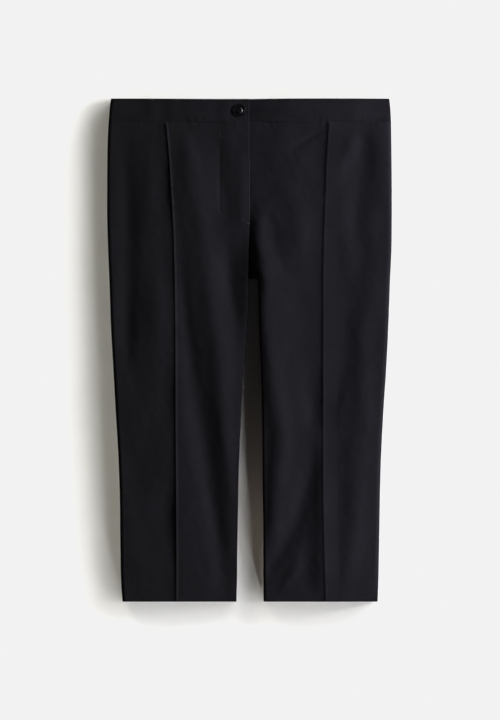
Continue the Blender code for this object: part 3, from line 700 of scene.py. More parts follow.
@dataclass(frozen=True)
class FrontPanel(Panel):
    """Front of one leg: folds, a sewn crease down its middle, a lap or underlap, and a turned hem."""

    lap_wall: float = 1.4
    facing: float = 38.0
    row_step: float = 2.4
    side_steps: int = 42
    inner_steps: int = 50
    waist_seam_height: float = 5.7
    fly_height: float = 6.6
    waist_settle: float = 28.0
    hem_settle: float = 45.0
    hem_relief: float = 0.35
    hem_round: float = 1.6
    hem_dip: float = 0.8
    body_middle: float = 120.0
    lap_flat: float = 20.0
    lap_fade: float = 186.0
    lap_fade_length: float = 44.0
    lap_drift: float = 1.0
    lap_slope: float = 34.0
    edge_round: float = 0.7
    seam_round: float = 0.9
    seam_dip: float = 0.05
    crease_rise: float = 0.48
    lean_width: float = 20.0
    lean_tail: float = 55.0
    stitch_x: float = -46.0
    stitch_depth: float = 0.24
    stitch_widths: tuple[float, float] = (3.0, 1.7)
    stitch_start: float = 55.0
    stitch_fade_in: float = 40.0
    stitch_end: float = 192.0
    stitch_fade_out: float = 16.0
    side_fall: float = 1.25
    side_strip: float = 7.0
    stitch_steps: tuple[float, ...] = (6.0, 4.0, 2.5, 1.5, 0.7, 0.0, -0.4, -0.8, -1.2, -1.7, -2.4, -4.0)
    lap_shares: tuple[float, ...] = (1.0, 0.8, 0.6, 0.42, 0.3, 0.2, 0.12, 0.06, 0.02, 0.0)
    kind: ClassVar[str] = "front"

    @property
    def rests_on(self) -> str:
        """Name of what the panel lies on."""
        return f"back_{self.leg.label}_cloth"

    @property
    def crease_steps(self) -> Array:
        """Places of the crease's corners along X, from its middle: a slow climb, then a quick fall."""
        tail = 3.2 if self.leg is Leg.RIGHT else 22.0
        return np.array([-7.0, -4.0, -2.0, -0.8, -0.1, 0.2, 1.2, 2.0, tail])

    def crease_profile(self, across: Array) -> Array:
        """Height of the sewn crease at distances along X from its middle."""
        fall = (0.50, 0.16) if self.leg is Leg.RIGHT else (0.90, 0.82)
        rises = (0.0, 0.10, 0.38, 0.80, 1.0, 1.0, *fall, 0.0)
        return self.crease_rise * np.interp(across, self.crease_steps, rises)

    def crease_lean(self, across: Array, drop: Array) -> Array:
        """Height of the cloth that climbs to the crease, and goes slowly down beyond it."""
        climb = near(-across, self.lean_width) ** 2
        fall = 1.0 - ease(across / self.lean_tail)
        return along(CREASE_LEANS, drop, self.leg.label) * np.where(across < 0.0, climb, fall)

    def crease_reach(self, drop: Array) -> Array:
        """Reach of the sewn crease."""
        return self.line(CREASES, drop)

    def inner_reach(self, drop: Array) -> Array:
        """Reach of the panel's cut edge at the middle, in the dip between the legs and at the inseam."""
        inner = np.where(drop < VALLEY_START_DROP, 0.0, self.line(FORK, drop))
        return np.where(drop > CROTCH_DROP, self.line(INSEAMS, drop), inner)

    def body_height(self, reach: Array, drop: Array) -> Array:
        """Height between the folds."""
        side, middle, inner = (along(BODIES[self.leg], drop, place) for place in ("side", "middle", "inner"))
        outwards = ease((reach - self.body_middle) / (self.side_reach(drop) - self.body_middle))
        inwards = ease(1.0 - reach / self.body_middle)
        return middle + (side - middle) * outwards + (inner - middle) * inwards

    def small_relief(self, reach: Array, drop: Array) -> Array:
        """Height of the waves, the gathers at the seams and the hem's stitching line."""
        way = self.leg.value
        x = way * reach
        waves = Ripples(11 + way, 34.0, 80.0, 0.10).at(x, drop)
        waves = waves + Ripples(23 + way, 11.0, 24.0, 0.022, 34).at(x, drop)
        gathers = Puckers(5 + way, 11.0, 0.09, 9.0).at(x, drop - BAND_DROP)
        side = Puckers(31 + way, 19.0, 0.14, 9.0).at(drop, self.side_reach(drop) - reach)
        crease = Puckers(47 + way, 16.0, 0.05, 5.0).at(drop, self.crease_reach(drop) - reach)
        hem = -0.10 * bell((LENGTH - HEM_LINE - drop) / 1.2)
        turning = 0.08 * ease((drop - LENGTH + self.hem_turn_up) / 3.0)
        return waves + gathers + side + crease + hem + turning

    def stitch_line(self, drop: Array) -> Array:
        """X of the row of stitches that holds the fly's facing."""
        curve = np.clip((drop - FLY_BEND_DROP) / FLY_BEND, 0.0, 1.0)
        return self.stitch_x * np.sqrt(1.0 - curve * curve) - curve

    def right_height(self, height: Array, reach: Array, drop: Array) -> Array:
        """Height of the right front with its flat lap, the fly's rise and the dip along its stitches."""
        flat = 1.0 - ease((reach + LAP_EDGE - self.lap_flat) / self.lap_slope)
        lap = 1.0 - ease((drop - self.lap_fade) / self.lap_fade_length)
        height = mix(height, self.fly_height, flat * lap) + folds_at(FLY_FOLDS, self.leg, reach, drop)
        away = self.leg.value * reach - self.stitch_line(drop)
        starts = ease((drop - self.stitch_start) / self.stitch_fade_in)
        depth = self.stitch_depth * starts * ease((self.stitch_end - drop) / self.stitch_fade_out)
        return height - depth * bell(away / np.where(away < 0.0, *self.stitch_widths))

    def left_height(self, height: Array, reach: Array, drop: Array) -> Array:
        """Height of the left front, which goes down under the lap and at its pressed side edge."""
        start, width, low = (along(LEFT_SLOPES, drop, column) for column in ("start", "width", "low"))
        height = mix(height, low, near(reach - start, width) ** mix(1.3, 2.0, ease((drop - 150.0) / 60.0)))
        outside = near(self.side_reach(drop) - reach, self.side_strip)
        return height - self.side_fall * outside ** 2 * ease((LENGTH - drop) / 60.0)

    def height(self, reach: Array, drop: Array) -> Array:
        """Height of the outer face, without its rolled edges.

        Args:
            reach: reaches of the places.
            drop: drops of the places, in a shape that spreads over reach.

        Returns:
            Heights in the shape of reach.
        """
        rise = ease((drop - BAND_DROP) / self.waist_settle)
        fall = ease((LENGTH - drop) / self.hem_settle)
        relief = folds_at(FRONT_FOLDS[self.leg], self.leg, reach, drop) * mix(self.hem_relief, 1.0, fall)
        height = mix(self.waist_seam_height, self.body_height(reach, drop) + relief, rise)
        inner_form = self.right_height if self.leg is Leg.RIGHT else self.left_height
        height = inner_form(height, reach, drop) + self.small_relief(reach, drop)
        height = height - self.seam_dip * rounded(drop - BAND_DROP, self.seam_round)
        height = height - self.hem_dip * rounded(LENGTH - drop, self.hem_round)
        across = self.leg.value * (reach - self.crease_reach(drop))
        starts = ease((drop - BAND_DROP) / 3.0)
        return height + (self.crease_profile(across) + self.crease_lean(across, drop)) * starts

    def drops(self) -> Array:
        """Drops of the grid's rows, closer together at the seam, the crotch and the hem."""
        def run(start: float, stop: float, step: float = self.row_step) -> Array:
            """Even drops from start up to, but not including, stop."""
            return np.linspace(start, stop, max(2, round((stop - start) / step)) + 1)[:-1]

        return np.concatenate([
            run(BAND_DROP, BAND_DROP + 1.2, 0.2), run(BAND_DROP + 1.2, BAND_DROP + 3.0, 0.6),
            run(BAND_DROP + 3.0, LAP_END_DROP), run(LAP_END_DROP, VALLEY_START_DROP, 1.0),
            run(VALLEY_START_DROP, BODY_END_DROP), [BODY_END_DROP], run(LEG_START_DROP, LENGTH - 3.0),
            run(LENGTH - 3.0, LENGTH, 0.4), [LENGTH],
        ])

    def wall_at(self, reach: Array, drop: Array) -> Array:
        """Thickness: one layer, two at the turned hem and along the lap's facing."""
        wall = self.layers(drop)
        if self.leg is Leg.RIGHT:
            facing = ease((self.facing - reach) / 8.0) * ease((LAP_END_DROP - drop) / 6.0)
            wall = wall + (self.lap_wall - self.wall) * facing
        return wall + 0.0 * reach

    def lap_columns(self, drop: Array) -> Columns:
        """Columns along the lap, or under it, edge last."""
        ended = ease((drop - UNDERLAP_END_DROP) / (LAP_END_DROP - UNDERLAP_END_DROP))
        edge = -LAP_EDGE - self.lap_drift * ease((drop - 60.0) / 60.0)
        if self.leg is Leg.LEFT:
            edge = mix(LAP_EDGE - UNDERLAP, LAP_EDGE + 0.6, ended)
        inwards = EDGE_ROLL * np.array(self.lap_shares)
        reach = edge + inwards
        top = self.height(reach, drop)
        wall = self.wall_at(reach, drop)
        turn = 0.2 * wall * rounded(inwards, self.edge_round)
        return Columns(reach, top - turn, reach, top - wall + turn)

    @property
    def inner_angles(self) -> Array:
        """Angles round the edge between the legs: a crisp fold on the right, a soft roll on the left."""
        if self.leg is Leg.RIGHT:
            return np.array([90.0, 30.0, 26.0, 22.0, 18.0, 14.0, 10.0, 6.0, 3.0, 0.0])
        return np.array([90.0, 80.0, 70.0, 60.0, 50.0, 40.0, 30.0, 20.0, 10.0, 0.0])

    def inner_roll(self, edge: Array, seam: Array, drop: Array, angles: Array) -> Columns:
        """Columns round a rolled edge that faces the other leg, edge last."""
        roll = along(INNER_ROLLS, drop, self.leg.label)
        return rolled(edge, 1.0, roll, seam, self.height(edge + roll, drop), self.wall_at(edge, drop), angles)

    def fork_columns(self, drop: Array) -> Columns:
        """Columns down into the dip between the legs, seam last."""
        seam = self.leg.value * along(FORK, drop, "seam") + GAP / 2.0
        floor = along(FORK, drop, "floor")
        columns = self.inner_roll(self.line(FORK, drop), floor, drop, self.inner_angles[:-1])
        ends = (seam, floor, seam, floor - self.wall)
        return Columns(*(np.concatenate(pair, axis=1) for pair in zip(columns, ends)))

    def inseam_columns(self, drop: Array) -> Columns:
        """Columns round the inseam's rolled edge, edge last."""
        seam = seam_height(drop) + GAP / 2.0
        return self.inner_roll(self.line(INSEAMS, drop), seam, drop, self.inner_angles)

    def open_columns(self, drop: Array) -> Columns:
        """Columns above the crotch: the lap, turning into the dip between the legs."""
        turn = ease((drop - LAP_END_DROP) / (VALLEY_START_DROP - LAP_END_DROP))
        return Columns(*(mix(*pair, turn) for pair in zip(self.lap_columns(drop), self.fork_columns(drop))))

    def inner_columns(self, start: Array, end: Array) -> list[Array]:
        """Reaches of the grid's columns from start to end, closer together at the fly's stitching."""
        if self.leg is Leg.LEFT:
            return [mix(start, end, steps(self.inner_steps)[:, :-1])]
        stitches = 0.0 * start - self.stitch_x + np.array(self.stitch_steps)[None, :]
        share = (start - stitches[:, :1]) / (start - end)
        count = round(self.inner_steps * float(share.mean()))
        before = mix(start, stitches[:, :1], steps(count)[:, :-1])
        after = mix(stitches[:, -1:], end, steps(self.inner_steps - count)[:, 1:-1])
        return [before, stitches, after]

    def faces(self) -> Faces:
        """Points of the outer and inner faces, from the side seam to the inner edge."""
        drop = self.drops()[:, None]
        side = self.side_reach(drop)
        crease = self.crease_reach(drop)
        crisp = self.leg is Leg.LEFT
        roll = LEFT_EDGE_ROLL if crisp else EDGE_ROLL
        angles = np.array([0.0, 6.0, 12.0, 18.0, 24.0, 30.0, 90.0]) if crisp else np.linspace(0.0, 90.0, 8)
        seam, crown = seam_height(drop) + GAP / 2.0, self.height(side - roll, drop)
        edge = rolled(side, -1.0, roll, seam, crown, self.wall_at(side, drop), angles)
        lap = below_crotch(drop, self.inseam_columns(drop), self.open_columns(drop))
        corners = crease + np.sort(self.crease_steps * self.leg.value)[None, ::-1]
        strip = side - roll - self.side_strip * np.linspace(0.0, 1.0, 7 if crisp else 1)[None, :]
        reach = np.concatenate([
            strip[:, 1:], mix(strip[:, -1:], corners[:, :1], steps(self.side_steps)[:, 1:]), corners[:, 1:-1],
            *self.inner_columns(corners[:, -1:], lap.reach[:, :1])], axis=1)
        top = self.height(reach, drop)
        under = top - self.wall_at(reach, drop) - self.crease_profile(self.leg.value * (reach - crease))
        return wall_faces(self.leg, drop, edge, Columns(reach, top, reach, under), lap)


@dataclass(frozen=True)
class BackPanel(Panel):
    """Back of one leg: it lies on the surface, with soft folds that lift off it, and a dart."""

    row_step: float = 4.2
    columns: int = 56
    seam_settle: float = 22.0
    edge_settle: float = 16.0
    dart_reach: float = 96.0
    dart_drop: float = 150.0
    dart_depth: float = 0.35
    seam_depth: float = 0.3
    ditch_depth: float = 0.4
    kind: ClassVar[str] = "back"
    outside_in: ClassVar[Leg] = Leg.LEFT

    def inner_reach(self, drop: Array) -> Array:
        """Reach of the seam at the middle of the back, and of the inseam below the crotch."""
        middle = self.line(BACK_SEAM, drop) + GAP / 2.0
        return np.where(drop > CROTCH_DROP, self.line(INSEAMS, drop), middle)

    def lift(self, reach: Array, drop: Array) -> Array:
        """How far the lower face stands off the surface."""
        way = self.leg.value
        inside = reach - self.inner_reach(drop)
        lift = folds_at(BACK_FOLDS[self.leg], self.leg, reach, drop)
        lift = lift + np.abs(Ripples(71 + way, 30.0, 90.0, 0.16).at(way * reach, drop))
        lift = lift + np.abs(Puckers(83 + way, 12.0, 0.2, 8.0).at(way * reach, drop - BAND_DROP))
        pressed = ease((drop - BAND_DROP) / self.seam_settle) * ease((LENGTH - drop) / self.seam_settle)
        edges = ease(inside / self.edge_settle) * ease((self.side_reach(drop) - reach) / self.edge_settle)
        dart = self.dart_depth * bell((reach - self.dart_reach) / 1.1) * ease((self.dart_drop - drop) / 40.0)
        seam = self.seam_depth * bell(inside / 1.4)
        return lift * pressed * edges + dart + seam + self.ditch_depth * near(drop - BAND_DROP, 2.0) ** 2

    def drops(self) -> Array:
        """Drops of the grid's rows."""
        upper = np.linspace(BAND_DROP, BODY_END_DROP, round((CROTCH_DROP - BAND_DROP) / self.row_step))
        lower = np.linspace(LEG_START_DROP, LENGTH, round((LENGTH - CROTCH_DROP) / self.row_step))
        return np.concatenate([upper, lower])

    def faces(self) -> Faces:
        """Points of the outer and inner faces, from the side seam to the inner edge."""
        drop = self.drops()[:, None]
        side, inner = self.side_reach(drop), self.inner_reach(drop)
        wall = self.layers(drop)
        angles = np.linspace(0.0, 90.0, 7)
        form = (BACK_ROLL, seam_height(drop) - GAP / 2.0, np.zeros_like(drop), wall)
        start = rolled(side, -1.0, *form, angles)
        inseam = rolled(inner, 1.0, *form, angles[::-1])

        def flat(reach: Array) -> Columns:
            """Columns that lie on the surface at some reaches."""
            lift = self.lift(reach, drop)
            return Columns(reach, lift, reach, lift + wall)

        ending = below_crotch(drop, inseam, flat(inner + BACK_ROLL * np.linspace(1.0, 0.0, 7)[None, :]))
        reach = mix(side - BACK_ROLL, ending.reach[:, :1], steps(self.columns)[:, 1:-1])
        return wall_faces(self.leg, drop, start, flat(reach), ending)


@dataclass(frozen=True)
class Waistband:
    """Two front waistbands that lap right over left, and one back waistband."""

    height: float = 6.2
    wall: float = 1.6
    underlap_height: float = 4.3
    end_round: float = 0.2
    overlap_height: float = 6.5
    left_slope: float = 60.0
    top_dip: float = 0.9
    button_press: float = 0.7
    button_spread: float = 17.0
    left_fall: float = 1.4
    right_fall: float = 1.2
    dip_middle: float = 40.0
    dip_width: float = 85.0
    underlap: float = 34.0
    underlap_clear: float = 2.0
    lap_slope: float = 20.0
    fold_round: float = 1.6
    seam_round: float = 0.9
    columns: int = 150
    rows: int = 26
    buttonhole_start: float = 13.5
    buttonhole_length: float = 14.0
    buttonhole_width: float = 1.6

    @property
    def low(self) -> float:
        """Drop of the waistband's lower edge."""
        return BAND_DROP - SEAM_GAP

    def end(self, leg: Leg) -> float:
        """Reach of a front waistband's free end."""
        return -LAP_EDGE if leg is Leg.RIGHT else LAP_EDGE - self.underlap

    def side_reach(self, leg: Leg, drop: Array) -> Array:
        """Reach of the side seam."""
        return leg.value * along(SIDE_SEAMS, drop, leg.label)

    def level(self, leg: Leg, reach: Array) -> Array:
        """Height of a front waistband between its edges."""
        if leg is Leg.RIGHT:
            over = 1.0 - ease((reach - self.underlap - self.underlap_clear) / self.lap_slope)
            falling = ease((reach - 60.0) / 160.0)
            return mix(self.height, self.overlap_height, over) - self.right_fall * falling
        under = near(reach - LAP_EDGE - 1.6, self.left_slope) ** 1.3
        return mix(self.height, self.underlap_height, under) - self.left_fall * (
            0.8 * np.clip((reach - 50.0) / 130.0, 0.0, 1.0) + ease((reach - 165.0) / 50.0))

    def relief(self, leg: Leg, reach: Array, drop: Array) -> Array:
        """Waves of a front waistband, its gathers at the seam and the pressed line under its fold."""
        x = leg.value * reach
        waves = Ripples(101 + leg.value, 26.0, 70.0, 0.09, lengthwise=0.7).at(x, drop)
        gathers = Puckers(61 + leg.value, 9.0, 0.08, 8.0).at(x, drop - self.low)
        fold = 0.12 * bell((drop - 3.4) / 1.4) - 0.10 * bell((drop - 7.0) / 2.2)
        button = BUTTON_MIDDLE / MM
        away = np.hypot(x - button.x, drop - TOP + button.y) / self.button_spread
        return waves + gathers + fold - self.button_press * bell(away)

    def top(self, leg: Leg, reach: Array, drop: Array) -> Array:
        """Height of a front waistband's outer face."""
        return self.level(leg, reach) + self.relief(leg, reach, drop)

    def rounding(self, drop: Array) -> Array:
        """How far the faces come together at the folded edge above and the seam below, from 0 to 1."""
        return rounded(drop, self.fold_round) * 0.9 + rounded(self.low - drop, self.seam_round) * 0.06

    def settled(self, points: Array) -> Array:
        """Points of a face, with the folded edge sunk a little around the button."""
        drop = TOP - points[..., 1]
        dip = self.top_dip * bell((points[..., 0] + self.dip_middle) / self.dip_width)
        points[..., 1] -= dip * (1.0 - drop / self.low)
        return points

    def drops(self) -> Array:
        """Drops of the grid's rows, closer together at both edges, as a column."""
        turn = (1.0 - np.cos(np.linspace(0.0, math.pi, self.rows))) / 2.0
        return (self.low * mix(np.linspace(0.0, 1.0, self.rows), turn, 0.8))[:, None]

    def front_faces(self, leg: Leg) -> Faces:
        """Points of the outer and inner faces of a front waistband, side seam first."""
        drop = self.drops()
        side, end = self.side_reach(leg, drop), self.end(leg)
        together = self.rounding(drop) * self.wall / 2.0
        crown = self.level(leg, side) - together + self.relief(leg, side - EDGE_ROLL, drop)
        edge = rolled(side, -1.0, EDGE_ROLL, SEAM_HEIGHT + GAP / 2.0, crown, self.wall - 2.0 * together,
                      np.linspace(0.0, 90.0, 8))
        last = 1.0 - np.array([[0.004, 0.002, 0.0008, 0.0]])
        share = np.concatenate([steps(self.columns)[:, 1:-1], last], axis=1)
        reach = mix(side - EDGE_ROLL, end + 0.0 * side, share)
        top = self.top(leg, reach, drop)
        closed = np.minimum(together + rounded(reach - end, 0.8) * self.end_round, 0.9 * self.wall / 2.0)
        face = Columns(reach, top - closed, reach, top - self.wall + closed)
        return tuple(self.settled(points) for points in wall_faces(leg, drop, edge, face))

    def back_faces(self) -> Faces:
        """Points of the outer and inner faces of the back waistband, from right to left."""
        drop = self.drops()
        together = self.rounding(drop) * self.wall / 2.0
        thickness = self.wall - 2.0 * together
        share = steps(self.columns // 2)[:, 1:]
        halves = []
        for leg in Leg:
            side = self.side_reach(leg, drop)
            edge = rolled(side, -1.0, BACK_ROLL, SEAM_HEIGHT - GAP / 2.0, together, thickness,
                          np.linspace(0.0, 90.0, 7))
            reach = mix(side - BACK_ROLL, 0.0 * side, share)
            waves = Ripples(131, 30.0, 80.0, 0.12).at(leg.value * reach, drop)
            low = together + np.abs(waves) * (share < 1.0)
            halves.append(wall_faces(leg, drop, edge, Columns(reach, low, reach, low + thickness)))
        whole = (np.concatenate([right, left[:, -2::-1]], axis=1) for right, left in zip(*halves))
        return tuple(self.settled(points) for points in whole)

    def cut_buttonhole(self, piece: Piece) -> None:
        """Cut the slot of the buttonhole through the right front waistband."""
        bpy.ops.mesh.primitive_cube_add(size=1.0)
        cutter = bpy.context.object
        middle = -self.buttonhole_start - self.buttonhole_length / 2.0
        cutter.scale = (self.buttonhole_length * MM, self.buttonhole_width * MM, 12.0 * MM)
        cutter.location = (middle * MM, BUTTON_MIDDLE.y, self.overlap_height * MM)
        cut(piece, [cutter])

    def build_front(self, leg: Leg) -> Piece:
        """Make the front waistband of one side."""
        piece = cloth_wall(f"waistband_front_{leg.label}_cloth", self.front_faces(leg), leg is Leg.RIGHT)
        if leg is Leg.RIGHT:
            self.cut_buttonhole(piece)
        length = float(self.side_reach(leg, np.array([20.0]))[0]) - self.end(leg)
        flat = (length * MM, self.low * MM)
        declare_cloth(piece, f"waistband_front_{leg.label}", flat, "waistband_back_cloth")
        return piece

    def build_back(self) -> Piece:
        """Make the back waistband."""
        piece = cloth_wall("waistband_back_cloth", self.back_faces(), False)
        low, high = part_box("waistband_back")
        declare_cloth(piece, "waistband_back", (high.x - low.x, high.y - low.y), "floor")
        return piece


def tube_quads(rings: int, sides: int) -> Array:
    """Quads of a tube whose rings of points are numbered one after the other."""
    number = np.arange(rings * sides).reshape(rings, sides)
    first, second = number[:-1], number[1:]
    corners = [first, np.roll(first, -1, axis=1), np.roll(second, -1, axis=1), second]
    return np.stack(corners, axis=-1).reshape(-1, 4)


def merged(parts: Sequence[Tube]) -> Tube:
    """Several sets of points and quads as one."""
    starts = np.cumsum([0] + [len(points) for points, _ in parts[:-1]])
    return (np.concatenate([points for points, _ in parts]),
            np.concatenate([quads + start for (_, quads), start in zip(parts, starts)]))


def joined(name: str, parts: Sequence[Tube]) -> Piece:
    """One object from several sets of points and quads, which moves with the part's body."""
    piece = mesh_object(name, *merged(parts), 80.0)
    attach(piece, "root")
    return piece


@dataclass(frozen=True)
class Thread:
    """Sewing thread laid as short stitches, each a thin rod that dips into the cloth at its ends."""

    radius: float = 0.16
    stitch: float = 2.4
    space: float = 0.6
    sides: int = 5

    def rods(self, starts: Array, ends: Array, rise: float) -> Tube:
        """Points and quads of rods between points that are given one a row, their middles raised."""
        return self.bent_rods(starts, (starts + ends) / 2.0 + rise * UP, ends)

    def bent_rods(self, starts: Array, middles: Array, ends: Array) -> Tube:
        """Points and quads of rods, each bent through a middle point.

        Args:
            starts: first points, in millimetres, one a row.
            middles: middle points.
            ends: last points.

        Returns:
            Points and quads of all the rods together.
        """
        way = ends - starts
        way = way / np.maximum(np.linalg.norm(way, axis=1, keepdims=True), 1e-6)
        across = np.cross(way, UP)
        across = across / np.maximum(np.linalg.norm(across, axis=1, keepdims=True), 1e-6)
        above = np.cross(across, way)
        quarters = [(starts + middles) / 2.0, (middles + ends) / 2.0]
        quarters = [quarter + 0.25 * self.radius * UP for quarter in quarters]
        stations = ((starts, 0.35), (quarters[0], 0.95), (middles, 1.0), (quarters[1], 0.95), (ends, 0.35))
        turns = np.linspace(0.0, math.tau, self.sides, endpoint=False)
        rings = []
        for centre, size in stations:
            ring = [centre + self.radius * size * (math.cos(t) * across + math.sin(t) * above) for t in turns]
            rings.append(np.stack(ring, axis=1))
        points = np.stack(rings, axis=1)
        first = np.arange(len(starts))[:, None, None] * len(stations) * self.sides
        quads = tube_quads(len(stations), self.sides)[None] + first
        return points.reshape(-1, 3), quads.reshape(-1, 4)

    def run(self, path: Array, sink: float = 0.1) -> Tube:
        """Points and quads of a row of stitches along a path that lies on the cloth."""
        lengths = np.linalg.norm(np.diff(path, axis=0), axis=1)
        walked = np.concatenate([[0.0], np.cumsum(lengths)])
        pitch = self.stitch + self.space
        first = np.arange(max(1, int(walked[-1] // pitch))) * pitch

        def at(distance: Array) -> Array:
            """Points of the path at distances along it."""
            return np.stack([np.interp(distance, walked, path[:, axis]) for axis in range(3)], axis=1)

        starts, middles, ends = (at(first + share * self.stitch) for share in (0.0, 0.5, 1.0))
        return self.bent_rods(starts - sink * UP, middles + self.radius * 0.7 * UP, ends - sink * UP)


@dataclass(frozen=True)
class Sewing:
    """Rows of stitching that show on the fronts and the waistband."""

    right: FrontPanel
    left: FrontPanel
    band: Waistband
    thread: Thread = Thread()
    end_line: float = 5.0
    hem_stitch_pitch: float = 6.5

    def on_front(self, panel: FrontPanel, x: Array, drop: Array) -> Array:
        """Points in millimetres on a front's outer face."""
        reach = panel.leg.value * x
        return world(panel.leg, reach, drop, panel.height(reach, drop))

    def fly_row(self) -> Tube:
        """The row that holds the fly's facing: straight down, then curving to the lap's edge."""
        straight = np.linspace(BAND_DROP + 1.0, FLY_BEND_DROP, 90)
        drop = np.concatenate([straight, FLY_BEND_DROP + FLY_BEND * np.sin(np.linspace(0, 1.5, 30))])
        path = self.on_front(self.right, self.right.stitch_line(drop), drop)
        path[:, 2] -= 0.16 * ease((drop - 170.0) / 12.0)
        return self.thread.run(path)

    def bar_tack(self, x: float, drop: float, length: float, turn: float) -> Tube:
        """A short thick row of close stitches across a place that is pulled on."""
        spread = np.linspace(-length / 2.0, length / 2.0, round(length / 0.45))
        x_row = x + spread * math.cos(turn)
        drop_row = drop + spread * math.sin(turn)
        side_x, side_drop = -0.8 * math.sin(turn), 0.8 * math.cos(turn)
        starts = self.on_front(self.right, x_row - side_x, drop_row - side_drop)
        ends = self.on_front(self.right, x_row + side_x + 0.2, drop_row + side_drop)
        return self.thread.rods(starts - 0.22 * UP, ends - 0.22 * UP, 0.12)

    def crease_row(self, panel: FrontPanel) -> Tube:
        """The row at the foot of a sewn crease, on the side that it leans away from."""
        drop = np.linspace(BAND_DROP + 1.0, LENGTH - 1.0, 420)
        x = along(CREASES, drop, panel.leg.label) + 2.3
        return self.thread.run(self.on_front(panel, x, drop), 0.14)

    def hem_row(self, panel: FrontPanel) -> Tube:
        """The few threads of a blind hem that come through to the right side."""
        drop = LENGTH - HEM_LINE
        ends = [float(along(rows, drop, panel.leg.label)) for rows in (SIDE_SEAMS, INSEAMS)]
        x = np.arange(min(ends) + 8.0, max(ends) - 8.0, self.hem_stitch_pitch)
        rows = [self.on_front(panel, place, np.full_like(x, drop)) - 0.08 * UP for place in (x, x + 1.0)]
        return self.thread.rods(*rows, 0.14)

    def band_end_row(self) -> Tube:
        """The row beside the end of the right waistband."""
        drop = np.linspace(3.0, self.band.low - 2.0, 24)
        reach = np.full_like(drop, self.end_line)
        return self.thread.run(world(Leg.RIGHT, reach, drop, self.band.top(Leg.RIGHT, reach, drop)))

    def buttonhole_edge(self) -> Tube:
        """Close stitches all round the slot of the buttonhole."""
        drop_mid = (CAD_HIGH.y - BUTTON_MIDDLE.y) / MM
        reach = self.band.buttonhole_start + np.arange(0.2, self.band.buttonhole_length, 0.42)
        height = self.band.top(Leg.RIGHT, reach, drop_mid) - 0.1
        sides = []
        for side in (-1.0, 1.0):
            inside = drop_mid + side * self.band.buttonhole_width / 2.0
            starts, ends = (world(Leg.RIGHT, reach, drop, height) for drop in (inside, inside + side * 1.7))
            sides.append(self.thread.rods(starts, ends, 0.4))
        return merged(sides)

    def build(self) -> list[Piece]:
        """Make every row."""
        fly = [self.fly_row(), self.bar_tack(-8.5, 195.5, 8.0, 0.15), self.bar_tack(-20.0, 186.0, 6.0, 0.6)]
        pieces = [joined("fly_stitching", fly)]
        for panel in (self.right, self.left):
            pieces.append(joined(f"crease_stitching_{panel.leg.label}", [self.crease_row(panel)]))
            pieces.append(joined(f"hem_stitching_{panel.leg.label}", [self.hem_row(panel)]))
        pieces.append(joined("waistband_stitching", [self.band_end_row(), self.buttonhole_edge()]))
        return pieces


